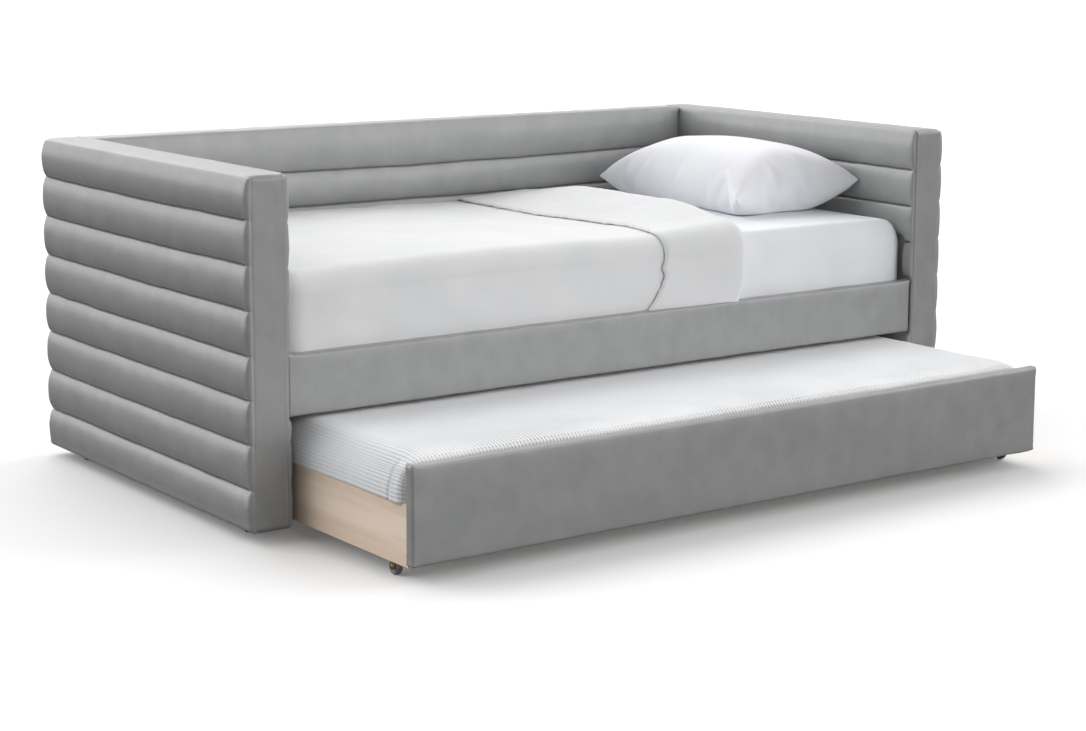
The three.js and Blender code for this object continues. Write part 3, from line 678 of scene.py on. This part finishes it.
def make_strips():
    for label, side in SIDES:
        box = LEFT_STRIP if side < 0 else RIGHT_STRIP
        seed = 71 + side

        def lift(run, share, edge, marks, side=side, seed=seed):
            inward = share if side < 0 else 1 - share  # 1 at the seam towards the mattress
            from_in = (1 - inward) * (STRIP_OUT - STRIP_IN)
            out = 0.0012 * (1 - (2 * share - 1) ** 2) - 0.005 * (1 - edge_rise(edge, 0.0085))
            out = out + 0.0018 * bell(from_in, 0.0065, 0.0024)
            out = out + 0.0008 * layered(run / 0.14, share * 0.9, seed)
            out = out + 0.0005 * noise(run / 0.013, 0, seed + 1) * fade(edge, 0.006)
            for mark in marks:
                crease = np.sin((run - mark) / 0.0031 + (share - 0.5) * 9.0)
                out = out + 0.0014 * crease * fade(np.abs(run - mark), 0.013) * fade(edge, 0.012)
            return out

        # the arms' bands take the darker copy of the upholstery, which is painted shade
        strip(f"arm_{label}_band", f"arm_{label}_strip",
              [(FRONT_Y, FLOOR_SIDE), (FRONT_Y, TOP_Z), (BACK_Y, TOP_Z), (BACK_Y, FLOOR_SIDE)],
              (box[0].x, box[1].x), lift, SHADED_BAND)

    lo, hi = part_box("back_outer_cover")

    def lift_back(run, share, edge, marks):
        out = 0.0012 * layered(run / 0.3, share * 7.0, 91) - 0.0034 * (1 - edge_rise(edge, 0.0055))
        out = out + 0.0006 * noise(share * 90.0, run / 0.25, 92) * fade(np.abs(run - marks[0]), 0.05)
        return out - 0.003 * (1 - edge_rise(run, 0.007)) + 0.0009 * bell(run, 0.008, 0.003)

    strip("back_cover", "back_outer_cover", [(lo.y + 0.0005, TOP_Z), (BACK_Y, TOP_Z), (BACK_Y, FLOOR_SIDE)],
          (lo.x, hi.x), lift_back, UPHOLSTERY)


# ---------------- padded panels
PANEL_RADIUS = 0.0085
PANEL_CLOTH = 0.0035


def padded_panel(name, cover, body, seed, reach=None):
    """The padded cover of a board, folded over its front, edges and ends, and open behind."""
    lo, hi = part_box(cover)
    if reach:
        lo.x, hi.x = -reach, reach
    points, quads, out, _ = box_surface(lo, hi, PANEL_RADIUS, (0.012, 0.006, 0.009), ("+Y",))
    middle, half = halves(lo, hi)
    x, _, z = (points - middle).T
    end, edge = half[0] - np.abs(x), half[2] - np.abs(z)
    plump = 0.0032 * np.sqrt(np.clip(1 - np.abs(z / half[2]) ** 4, 0, 1)) * (1 - np.abs(x / half[0]) ** 40)
    waviness = 0.0013 * layered(points[:, 0] / 0.22, points[:, 2] / 0.12, seed)
    crease = 0.0011 * np.sin(x / 0.0045 + z / 0.0032) * fade(end, 0.022) * fade(edge, 0.03)
    crease = crease + 0.0007 * noise(points[:, 0] / 0.05, 0, seed + 1) * fade(edge, 0.02)
    ear = bell(end, 0.004, 0.012) * bell(half[2] - z, 0.004, 0.014)
    face = np.clip(-out[:, 1], 0, 1)
    points = points + out * ((plump + waviness) * face + crease - 0.0022)[:, None]
    points[:, 2] += 0.0035 * ear
    points[:, 0] += 0.002 * np.sign(x) * ear
    points[:, 1] = np.minimum(points[:, 1], hi[1])
    piece = make_piece(name, points, quads, UPHOLSTERY, body, "velour")
    thicken(piece, PANEL_CLOTH)
    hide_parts(cover)


# ---------------- mattresses and sheet
SHEET_CLOTH = 0.0014


def make_mattress(name, node, body, radius, seed):
    lo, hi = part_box(node)
    points, quads, out, _ = box_surface(lo, hi, radius, (0.03, 0.03, 0.02))
    points = points - 0.002 * out
    x, y, z = points.T
    points = points + out * (0.0012 * layered(x / 0.3, y / 0.2 + z / 0.1, seed))[:, None]
    piece = make_piece(name, points, quads, TICKING, body, "ticking")
    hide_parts(node)


def make_fitted_sheet():
    lo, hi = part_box("fitted_sheet")
    hi.x = SHEET_END
    points, quads, out, _ = box_surface(lo, hi, (0.078, 0.024, 0.076), (0.012, 0.012, 0.008), ("-Z",))
    x, y, z = points.T
    middle, half = halves(lo, hi)
    up = np.clip(out[:, 2], 0, 1)
    move = up * 0.004 * (1 - ((x - middle[0]) / half[0]) ** 8)
    move += 0.7 * 0.0016 * layered(x / 0.19 + y / 0.35, y / 0.16, 201)
    corner = fade(half[0] - np.abs(x - middle[0]), 0.11) * fade(half[1] - np.abs(y - middle[1]), 0.11)
    move += 0.0018 * np.sin((x + y) / 0.012 + 2 * noise(x / 0.05, y / 0.05, 202)) * corner
    move += 0.0016 * noise((x + y) / 0.012, 0, 203) * fade(z - lo[2], 0.02)
    move += 0.001 * noise(x / 0.05 + y / 0.05, z / 0.14, 204) * (1 - up)
    points = points + out * (move - 0.0004)[:, None]
    piece = make_piece("sheet", points, quads, SHEET, "bed_frame", "white_cotton")
    thicken(piece, SHEET_CLOTH)
    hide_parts("fitted_sheet")


# ---------------- coverlet
COVERLET_THICK = 0.0075
HEM_X = 0.121
FOLD_X = 0.377


def make_coverlet():
    """One quilted cloth over the foot of the mattress, down its front and tucked behind the rail,
    with its head end folded back on itself."""
    mattress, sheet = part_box("mattress"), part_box("fitted_sheet")
    top, foot = sheet[1].z, mattress[0].x + 0.001
    # across the bed: up from behind the mattress, over its top, and down its front
    back, front = mattress[1].y - 0.001, sheet[0].y + 0.0005
    corners = [(back, top - 0.075), (back, top), (front, top), (front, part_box("coverlet")[0].z + 0.006)]
    path, normals, _ = rounded_path([(-y, z) for y, z in corners], 0.036, 0.005)
    path[:, 0], normals[:, 0] = -path[:, 0], -normals[:, 0]
    run = run_along(path)
    y, z = path.T
    on_top = np.clip(normals[:, 1], 0, 1)
    depth = np.clip((top - z) / 0.19, 0, 1)
    belly = np.sin(depth * pi)
    bed_y = y - (FRONT_Y + BACK_Y) / 2  # from the middle of the bed without its trundle

    def ripple(grain, seed):
        return noise(run / grain, 0, seed)

    # along the bed: the flat part, the fold, and the part turned back
    low = spaced(foot, FOLD_X - 0.02, 0.011, 0.05, 8)
    turn = np.linspace(0, pi, 23)[1:-1]
    back_run = np.concatenate([np.linspace(0, 0.93, 30), [0.948, 0.962, 0.973, 0.982, 0.989, 0.995, 1.0]])
    hem = HEM_X + 0.012 * smoothstep(0.35, 0.46, bed_y) - 0.054 * smoothstep(0.4, 1.0, depth) ** 1.3
    hem += 0.028 * bell(bed_y, -0.18, 0.2) * on_top
    hem += 0.0024 * ripple(0.011, 309) + 0.0022 * ripple(0.022, 301) + 0.004 * ripple(0.13, 302)
    crest = FOLD_X - 0.006 * smoothstep(0.0, 0.4, depth) - 0.024 * smoothstep(0.5, 1.0, depth)
    crest += 0.006 * belly - 0.012 * smoothstep(0.25, 0.45, bed_y) + 0.004 * ripple(0.2, 303)
    loft = 0.0115 + 0.0165 * smoothstep(-0.49, -0.2, bed_y) * (1 - smoothstep(0.12, 0.42, bed_y)) * on_top

    def lower(x):
        """How far the cloth that lies on the mattress stands off it, at x."""
        puff = 0.012 * on_top * bell(x, -0.38, 0.42)
        puff = puff + 0.007 * on_top * bell(bed_y, -0.36, 0.13) * smoothstep(-0.95, -0.7, x)
        folds = 0.003 * layered((x + 0.25 * bed_y) / 0.33, run / 0.19, 304)
        folds += 0.0017 * layered(x / 0.09, run / 0.07, 305)
        slack = 0.0035 * (1 - on_top) * (0.5 + 0.5 * noise(x / 0.3, depth * 1.4, 306)) * belly
        foot_round = -0.034 * (1 - edge_rise(x - foot, 0.045))
        return COVERLET_THICK / 2 + 0.0012 + puff + folds + slack + foot_round

    rows = [(np.full_like(y, x), lower(x)) for x in low]
    start = lower(low[-1])
    for angle in turn:
        x = low[-1] + (crest - low[-1]) * sin(angle) ** 0.8
        rows.append((x, start + loft * (1 - cos(angle))))
    for t in back_run:
        x = low[-1] + (hem - low[-1]) * t
        under = lower(x) + COVERLET_THICK + 0.0006
        fall = min((1 - t) ** 1.25 * (1 + 0.35 * t), 1.0)
        h = np.maximum(under + (start + 2 * loft - under) * fall, under)
        h = h + 0.0022 * layered(x / 0.12, run / 0.13, 307) * sin(pi * min(1, t * 1.12))
        h = h + 0.001 * bell((1 - t) * 0.28, 0, 0.01) * (0.8 + ripple(0.02, 308))
        rows.append((x, h))
    x, h = np.array(rows).transpose(1, 0, 2)
    mid = np.stack([x, y + normals[:, 0] * h, z + normals[:, 1] * h], -1)
    out = normals_of(mid)
    if out[5, len(y) // 2, 2] < 0:
        out = -out

    # thinner at the edges, with a stitched line by the fold and another along the hem
    from_foot = run_along(mid)
    to_hem = from_foot[-1] - from_foot
    from_fold = np.abs(from_foot - from_foot[len(low) + 10])
    edge = np.minimum(from_foot, np.minimum(run, run[-1] - run))
    half = COVERLET_THICK / 2 * (0.25 + 0.75 * edge_rise(edge, 0.006))
    half = half - 0.0023 * bell(from_fold, 0.011, 0.002)
    thin = COVERLET_THICK * 0.62 * (1 - smoothstep(-0.002, 0.01, to_hem))
    thin = thin + 0.0011 * (0.5 + 0.5 * ripple(0.012, 310)) * bell(to_hem, 0.0075, 0.002)
    # the side that shows on the part turned back is the cloth's underside
    piece = slab("coverlet_cloth", mid + out * half[..., None], mid - out * (half - thin)[..., None],
                 COVERLET, "quilted_cotton")
    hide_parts("coverlet")


# ---------------- pillow
PILLOW_LONG, PILLOW_WIDE, PILLOW_HALF = 0.718, 0.47, 0.073
CLOTH_FRAMES = 20


def pillow_blank():
    """Two layers of cloth sewn together round their edge, a little apart in the middle, with
    their sides pulled in between the corners."""
    step, pull = 0.0085, 0.035
    columns, rows = int(round(PILLOW_WIDE / step)) + 1, int(round(PILLOW_LONG / step)) + 1
    u, v = np.meshgrid(np.linspace(-1, 1, columns), np.linspace(-1, 1, rows), indexing="ij")
    x = PILLOW_WIDE / 2 * u * (1 - pull * (1 - v * v))
    y = PILLOW_LONG / 2 * v * (1 - pull * (1 - u * u))
    gap = 0.011 * np.sqrt(np.clip((1 - u ** 4) * (1 - v ** 4), 0, 1))
    points = np.concatenate([np.stack([x, y, s * gap], -1).reshape(-1, 3) for s in (1, -1)])
    faces = [grid_faces(columns, rows), grid_faces(columns, rows, columns * rows, True)]
    return points, np.concatenate(faces)


def inflate(piece):
    """Blows the piece up as cloth, and applies the result."""
    scene = bpy.context.scene
    cloth = piece.modifiers.new("cloth", "CLOTH")
    for key, value in dict(quality=6, mass=0.3, tension_stiffness=18.0, compression_stiffness=18.0,
                           shear_stiffness=7.2, bending_stiffness=0.35, use_pressure=True,
                           uniform_pressure_force=5.0, air_damping=3.0).items():
        setattr(cloth.settings, key, value)
    cloth.settings.effector_weights.gravity = 0.0
    cloth.collision_settings.use_collision = False
    cloth.point_cache.frame_start = 1
    cloth.point_cache.frame_end = CLOTH_FRAMES
    for step in range(1, CLOTH_FRAMES + 1):
        scene.frame_set(step)
    ironed = piece.modifiers.new("ironed", "SMOOTH")
    ironed.factor = 0.5
    ironed.iterations = 9
    graph = bpy.context.evaluated_depsgraph_get()
    mesh = bpy.data.meshes.new_from_object(piece.evaluated_get(graph))
    piece.modifiers.clear()
    old = piece.data
    piece.data = mesh
    bpy.data.meshes.remove(old)
    scene.frame_set(1)


def coordinates(piece):
    points = np.zeros(len(piece.data.vertices) * 3)
    piece.data.vertices.foreach_get("co", points)
    return points.reshape(-1, 3)


def make_pillow():
    """A bed pillow: blown up as cloth, then laid on the mattress, leaning a little on the arm."""
    piece = make_piece("pillow_case", *pillow_blank(), PILLOW, None, None)
    inflate(piece)
    p = coordinates(piece)
    reach = np.abs(p[:, :2]).max(axis=0) - 0.004
    for k, (sx, sy) in enumerate(((-1, -1), (1, -1), (1, 1), (-1, 1))):
        dx, dy = reach[0] * sx - p[:, 0], reach[1] * sy - p[:, 1]
        away, around = np.hypot(dx, dy), np.arctan2(dy * sy, dx * sx)
        crease = noise(around / 0.2, k * 4.1, 171) * smoothstep(0.012, 0.04, away) * fade(away, 0.055)
        p[:, 2] += 0.0052 * crease * np.sign(p[:, 2])
    # the seams are gathered a little, most at the end that faces the front
    for axis, other, most in ((1, 0, 0.0026), (0, 1, 0.0012)):
        from_seam = reach[axis] - np.abs(p[:, axis])
        gather = noise(p[:, other] / 0.017, np.sign(p[:, axis]) * 3.0, 172 + axis)
        gather = gather * smoothstep(0.002, 0.014, from_seam) * fade(from_seam, 0.034)
        p[:, 2] += most * gather * np.sign(p[:, 2])
    lo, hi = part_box("pillow")
    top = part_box("fitted_sheet")[1].z + 0.004
    tilt, yaw = radians(4.0), radians(-4.0)
    p = p @ np.array(Matrix.Rotation(yaw, 3, "Z") @ Matrix.Rotation(-tilt, 3, "Y")).T
    p += np.array([(lo.x + hi.x) / 2 + 0.004, (lo.y + hi.y) / 2, top + PILLOW_HALF])
    # the underside settles flat on the mattress, and the end against the arm
    p[:, 2] = -soft_limit(-p[:, 2], -top, 0.006)
    p[:, 0] = soft_limit(p[:, 0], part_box("arm_right_inner_pad")[0].x - 0.002, 0.012)
    piece.data.vertices.foreach_set("co", p.astype(np.float32).ravel())
    piece.data.update()
    smooth = piece.modifiers.new("smooth", "SUBSURF")
    smooth.levels = smooth.render_levels = 1
    piece.data.polygons.foreach_set("use_smooth", [True] * len(piece.data.polygons))
    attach(piece, "bed_frame")
    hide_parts("pillow")


# ---------------- trundle blanket
BLANKET_CLOTH = 0.003
BLANKET_STEP = 0.0045


def make_blanket():
    """A waffle-woven blanket over the trundle's mattress, hanging to the side boards' tops."""
    cad_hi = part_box("trundle_blanket")[1]
    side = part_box("trundle_side_right")[1]
    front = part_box("trundle_front_board")[1].y
    lo = Vector((-side.x - 0.0005, front + 0.002, side.z - 0.003))
    hi = Vector((side.x + 0.0005, cad_hi.y, cad_hi.z - 0.001))
    points, quads, out, flat = box_surface(lo, hi, (0.048, 0.034, 0.07), [BLANKET_STEP] * 3, ("-Z",))

    def unrolled(across, half):
        """Where each point lies on the flat cloth, from its middle."""
        return np.where(np.abs(across) > half - 1e-6, np.sign(across) * (half + hi.z - flat[:, 2]), across)

    weave = [unrolled(flat[:, 0], hi.x), unrolled(flat[:, 1] - (lo.y + hi.y) / 2, (hi.y - lo.y) / 2)]
    x, y, z = points.T
    up = np.clip(out[:, 2], 0, 1)
    sideways = np.abs(out[:, 0])
    crown = 0.0115 * up * smoothstep(0.0, 0.07, hi.x - np.abs(x)) * smoothstep(0.0, 0.06, y - lo.y)
    crown = crown * smoothstep(0.0, 0.1, hi.y - y)
    rumple = 0.0032 * layered(x / 0.24 + y * 0.8, y / 0.13, 401) + 0.0012 * layered(x / 0.07, y / 0.06, 402)
    rumple = rumple * (0.35 + 0.65 * up)
    hang = (1 - up) * smoothstep(0.0, 0.05, hi.z - z)
    ripple = (0.0018 * noise((x + y) / 0.07, 0, 403) + 0.001 * noise((x + y) / 0.025, 0, 404)) * hang
    # the pleat where the cloth is folded round each front corner
    line = y - lo.y - 0.066 + 0.004 * (z - lo.z) / 0.08
    pleat = 0.0065 * (1 - smoothstep(-0.007, 0.0012, line)) * smoothstep(-0.062, -0.03, line)
    pleat = pleat - 0.005 * bell(line, 0.0018, 0.0042)
    pleat = pleat * sideways ** 0.6 * smoothstep(0.004, 0.018, hi.z - z)
    points = points + out * (crown + rumple + ripple + pleat + 0.0022 * sideways)[:, None]
    # the cloth stays above the boards, under the rail and between the arms
    points[:, 2] = np.maximum(points[:, 2], lo.z + 0.0002)
    points[:, 2] = soft_limit(points[:, 2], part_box("front_rail_cover")[0].z - 0.006, 0.004)
    points[:, 0] = np.sign(points[:, 0]) * soft_limit(np.abs(points[:, 0]), hi.x + 0.0095, 0.004)
    points[:, 1] = np.maximum(points[:, 1], front + 0.0006)
    piece = make_piece("waffle_blanket", points, quads, WAFFLE, "trundle", "waffle_cotton",
                       weave=np.stack(weave, -1))
    thicken(piece, BLANKET_CLOTH)
    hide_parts("trundle_blanket")


# ---------------- casters and feet
def make_wheel(corner):
    node = f"caster_wheel_{corner}"
    lo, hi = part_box(node)
    r, w = (hi.z - lo.z) / 2, (hi.x - lo.x) / 2
    rim = r - 0.0073
    tread = [(r - 0.0072, 0.004 - w), (r - 0.0068, 0.0018 - w), (r - 0.0052, 0.0004 - w), (r - 0.003, -w),
             (r - 0.0014, 0.0008 - w), (r - 0.0004, 0.0026 - w), (r, 0.0048 - w)]
    hub = [(0.00262, 0.0002 - w), (0.005, -w), (0.006, 0.0006 - w), (0.0064, 0.002 - w),
           (0.0074, 0.003 - w), (rim - 0.0022, 0.003 - w), (rim - 0.0014, 0.0012 - w),
           (rim - 0.0005, 0.0006 - w), (rim, 0.0014 - w)]
    for kind, half, material in (("tyre", tread, RUBBER), ("wheel", hub, RIM)):
        piece = lathe(f"{kind}_{corner}", mirrored(half), material, f"wheel_{corner}", "caster_rubber",
                      (lo + hi) / 2, "X", 72)
        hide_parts(node)


def outline_plate(name, outline, thick, to_world, bevel):
    """A flat brass plate cut to an outline, with its edges eased."""
    count = len(outline)
    points = [to_world(u, v, w) for w in (0.0, thick) for u, v in outline]
    faces = [list(range(count)), list(range(2 * count - 1, count - 1, -1))]
    for k in range(count):
        n = (k + 1) % count
        faces.append([k, n, count + n, count + k])
    piece = make_piece(name, points, faces, BRASS, "trundle", "brass_plate", smooth=False)
    ease_edges(piece, bevel, 2, 50)
    return piece


def rounded_rectangle(width, height, radius):
    points, steps = [], 5
    for cx, cy, start in ((1, 1, 0), (-1, 1, 90), (-1, -1, 180), (1, -1, 270)):
        for t in range(steps + 1):
            angle = radians(start + 90 * t / steps)
            points.append((cx * (width / 2 - radius) + radius * cos(angle),
                           cy * (height / 2 - radius) + radius * sin(angle)))
    return points


FORK_SHEET = 0.0018
FORK_LEG = 0.0015
WHEEL_GAP = 0.0008


def make_fork(corner, side):
    """The bent-steel housing of a fixed caster: a plate, two legs, an axle and its screws."""
    node = f"caster_fork_{corner}"
    wheel_lo, wheel_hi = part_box(f"caster_wheel_{corner}")
    lo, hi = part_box(node)
    axle_x, y, axle_z = (wheel_lo + wheel_hi) / 2
    middle_x, plate_z = (lo.x + hi.x) / 2, hi.z - FORK_SHEET
    outline = rounded_rectangle(hi.x - lo.x - 0.002, hi.y - lo.y, 0.005)
    pieces = [outline_plate(f"caster_plate_{corner}", outline, FORK_SHEET,
                            lambda u, v, w: (middle_x + u, y + v, plate_z + w), 0.0005)]
    leg = []
    for t in range(13):
        angle = pi + pi * t / 12
        leg.append((0.0085 * cos(angle), axle_z + 0.0085 * sin(angle)))
    leg += [(0.012, plate_z - 0.004), (0.012, plate_z + 0.0004), (-0.012, plate_z + 0.0004),
            (-0.012, plate_z - 0.004)]
    left, right = wheel_lo.x - WHEEL_GAP - FORK_LEG, wheel_hi.x + WHEEL_GAP
    for which, x0 in (("outer", right if side > 0 else left), ("inner", left if side > 0 else right)):
        pieces.append(outline_plate(f"caster_leg_{which}_{corner}", leg, FORK_LEG,
                                    lambda u, v, w, x0=x0: (x0 + w, y + u, v), 0.0004))

    def turned(name, profile, material, centre, axis, segments):
        pieces.append(lathe(f"{name}_{corner}", profile, material, "trundle", "brass_plate", centre,
                            axis, segments))

    head = [(NEAR_AXIS, 0.0), (0.0043, 0.0), (0.0043, 0.0007), (0.0036, 0.0016), (0.002, 0.0021),
            (NEAR_AXIS, 0.0022)]
    face = (wheel_hi.x if side > 0 else wheel_lo.x) + side * (WHEEL_GAP + FORK_LEG)
    turned("axle_head", [(r, side * h) for r, h in head], BRASS, (face, y, axle_z), "X", 32)
    reach = (wheel_hi.x - wheel_lo.x) / 2 + WHEEL_GAP + FORK_LEG
    rod = [(NEAR_AXIS, -reach - 0.0008), (0.0019, -reach - 0.0008), (0.0025, -reach), (0.0025, reach),
           (NEAR_AXIS, reach)]
    turned("axle", rod, STEEL, (axle_x, y, axle_z), "X", 32)
    screw = [(NEAR_AXIS, 0.0), (0.0032, 0.0), (0.0028, -0.0008), (0.0018, -0.0014), (NEAR_AXIS, -0.0016)]
    for k, dy in enumerate((0.015, -0.015)):
        centre = (middle_x - side * 0.0153, y + dy, plate_z - 0.00002)
        turned(f"plate_screw_{k}", screw, STEEL, centre, "Z", 24)
    for piece in pieces:
        shade_by_angle(piece)
        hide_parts(node)


def shade_by_angle(piece):
    piece.data.set_sharp_from_angle(angle=radians(35))


def make_glides():
    for name in [n for n in NODES if n.startswith("glide_")]:
        lo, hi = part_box(name)
        r, h = (hi.x - lo.x) / 2, hi.z - lo.z
        profile = [(NEAR_AXIS, 0.0), (r * 0.8, 0.0), (r * 0.86, 0.0006), (r * 0.9, 0.0022),
                   (r * 0.93, h * 0.45), (r * 0.96, h * 0.5), (r - 0.0006, h * 0.55), (r, h * 0.6),
                   (r, h - 0.0012), (r - 0.001, h), (NEAR_AXIS, h)]
        foot = lathe(name + "_foot", profile, BLACK, "bed_frame", "black_plastic",
                     ((lo.x + hi.x) / 2, (lo.y + hi.y) / 2, lo.z))
        shade_by_angle(foot)
        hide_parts(name)


# ---------------- wood and metal
def make_hard_parts():
    for name in NODES:
        if name in ("arm_left_board", "arm_right_board", "back_board"):
            carried(name, PLYWOOD, 0.001)
        elif name in ("trundle_side_left", "trundle_side_right"):
            carried(name, OAK, 0.0014, 3)
        elif name == "trundle_back_board":
            carried(name, OAK_ACROSS, 0.0014, 3)
        elif name.endswith("slat_deck"):
            carried(name, PINE_ACROSS, 0.0018, 3)
        elif "cleat" in name or name.startswith("caster_block") or name.endswith("_board"):
            carried(name, PINE, 0.0014)
        elif name.startswith(("bracket_", "bolt_")):
            carried(name, ZINC, 0.0005)


# ---------------- floor, light and camera
SKY_BELOW, SKY_LEVEL, SKY_MIDDLE, SKY_TOP = 0.05, 1.0, 0.12, 0.03
FLOOR_REACH, FLOOR_GLOW = 60.0, 0.07
SUN_SPREAD = 60


def make_stage():
    mesh = bpy.data.meshes.new("floor")
    corners = [(x * FLOOR_REACH, y * FLOOR_REACH, 0.0) for x, y in ((-1, -1), (1, -1), (1, 1), (-1, 1))]
    mesh.from_pydata(corners, [], [(0, 1, 2, 3)])
    floor = put("floor", mesh)
    material, tree = shader("floor", Roughness=0.7, Specular_IOR_Level=0.1, Emission_Strength=FLOOR_GLOW,
                            Emission_Color=(1.0, 1.0, 1.0, 1.0))
    tint = ramp(cloudy(place(tree), 1.2, 2.0), (0.3, "ebebeb"), (0.7, "ededed"))
    feed(tree.nodes[SHADER], Base_Color=tint)
    mesh.materials.append(material)
    floor.visible_diffuse = floor.visible_glossy = False  # so that its white doesn't light the undersides

    world = bpy.data.worlds.new("studio")
    bpy.context.scene.world = world
    world.use_nodes = True
    tree = world.node_tree
    direction = add(tree, "TexCoord").outputs["Generated"]
    up = add(tree, "SeparateXYZ", Vector=direction).outputs["Z"]
    stops = [(0.0, SKY_BELOW), (0.47, SKY_BELOW), (0.5, SKY_LEVEL), (0.595, SKY_LEVEL), (0.67, SKY_MIDDLE),
             (0.8, SKY_TOP), (1.0, SKY_TOP)]
    # halved, because a ramp's colours stop at 1, and doubled again by the strength
    greys = [(position, (level / 2, level / 2, level / 2, 1.0)) for position, level in stops]
    sky = ramp(range_of(up, 0.0, 1.0, -1.0), *greys)
    feed(tree.nodes["Background"], Color=sky, Strength=2.0)


def soft_sun(name, toward, strength):
    """A wide, even light from one direction, like a large softbox far away."""
    data = bpy.data.lights.new(name, "SUN")
    data.energy = strength
    data.angle = radians(SUN_SPREAD)
    lamp = put(name, data)
    lamp.location = Vector(toward) * 5
    lamp.rotation_mode = "QUATERNION"
    lamp.rotation_quaternion = Vector(toward).to_track_quat("Z", "Y")


def make_lights():
    soft_sun("behind_left", (-0.7, 0.55, 0.45), 2.2)
    soft_sun("behind", (0.1, 0.7, 0.7), 2.08)
    soft_sun("right", (0.85, -0.1, 0.5), 1.9)
    soft_sun("front", (0.25, -0.92, 0.3), 1.8)


LENS_MM, SENSOR_MM = 74.8, 36.0
CAMERA_AT = (-3.4007, -4.633, 1.36)
CAMERA_TURN = 0.6259
CAMERA_DOWN = 0.154
CAMERA_ROLL = -0.004
SHIFT_UP = -0.0796


def make_camera():
    data = bpy.data.cameras.new("camera")
    data.lens = LENS_MM
    data.sensor_width = SENSOR_MM
    data.shift_y = SHIFT_UP
    data.clip_end = 200.0
    camera = put("camera", data)
    bpy.context.scene.camera = camera
    ahead = Vector((sin(CAMERA_TURN) * cos(CAMERA_DOWN),
                    cos(CAMERA_TURN) * cos(CAMERA_DOWN), -sin(CAMERA_DOWN)))
    right = Vector((cos(CAMERA_TURN), -sin(CAMERA_TURN), 0.0))
    down = ahead.cross(right)
    right = right * cos(CAMERA_ROLL) + down * sin(CAMERA_ROLL)
    down = ahead.cross(right)
    camera.rotation_mode = "QUATERNION"
    camera.rotation_quaternion = Matrix((right, -down, -ahead)).transposed().to_quaternion()
    camera.location = CAMERA_AT


make_camera()
make_arm_pads()
make_back_pad()
make_strips()
padded_panel("front_rail_padding", "front_rail_cover", "bed_frame", 101, RAIL_END + 0.0022)
padded_panel("trundle_front_padding", "trundle_front_cover", "trundle", 121)
make_mattress("mattress_block", "mattress", "bed_frame", (0.088, 0.036, 0.088), 141)
make_mattress("trundle_mattress_block", "trundle_mattress", "trundle", (0.045, 0.036, 0.055), 151)
make_fitted_sheet()
make_coverlet()
make_pillow()
make_blanket()
for end_name in ("front", "rear"):
    for side_name, side_sign in SIDES:
        make_wheel(f"{end_name}_{side_name}")
        make_fork(f"{end_name}_{side_name}", side_sign)
make_glides()
make_hard_parts()
make_stage()
make_lights()
bpy.context.scene.view_settings.view_transform = "Standard"
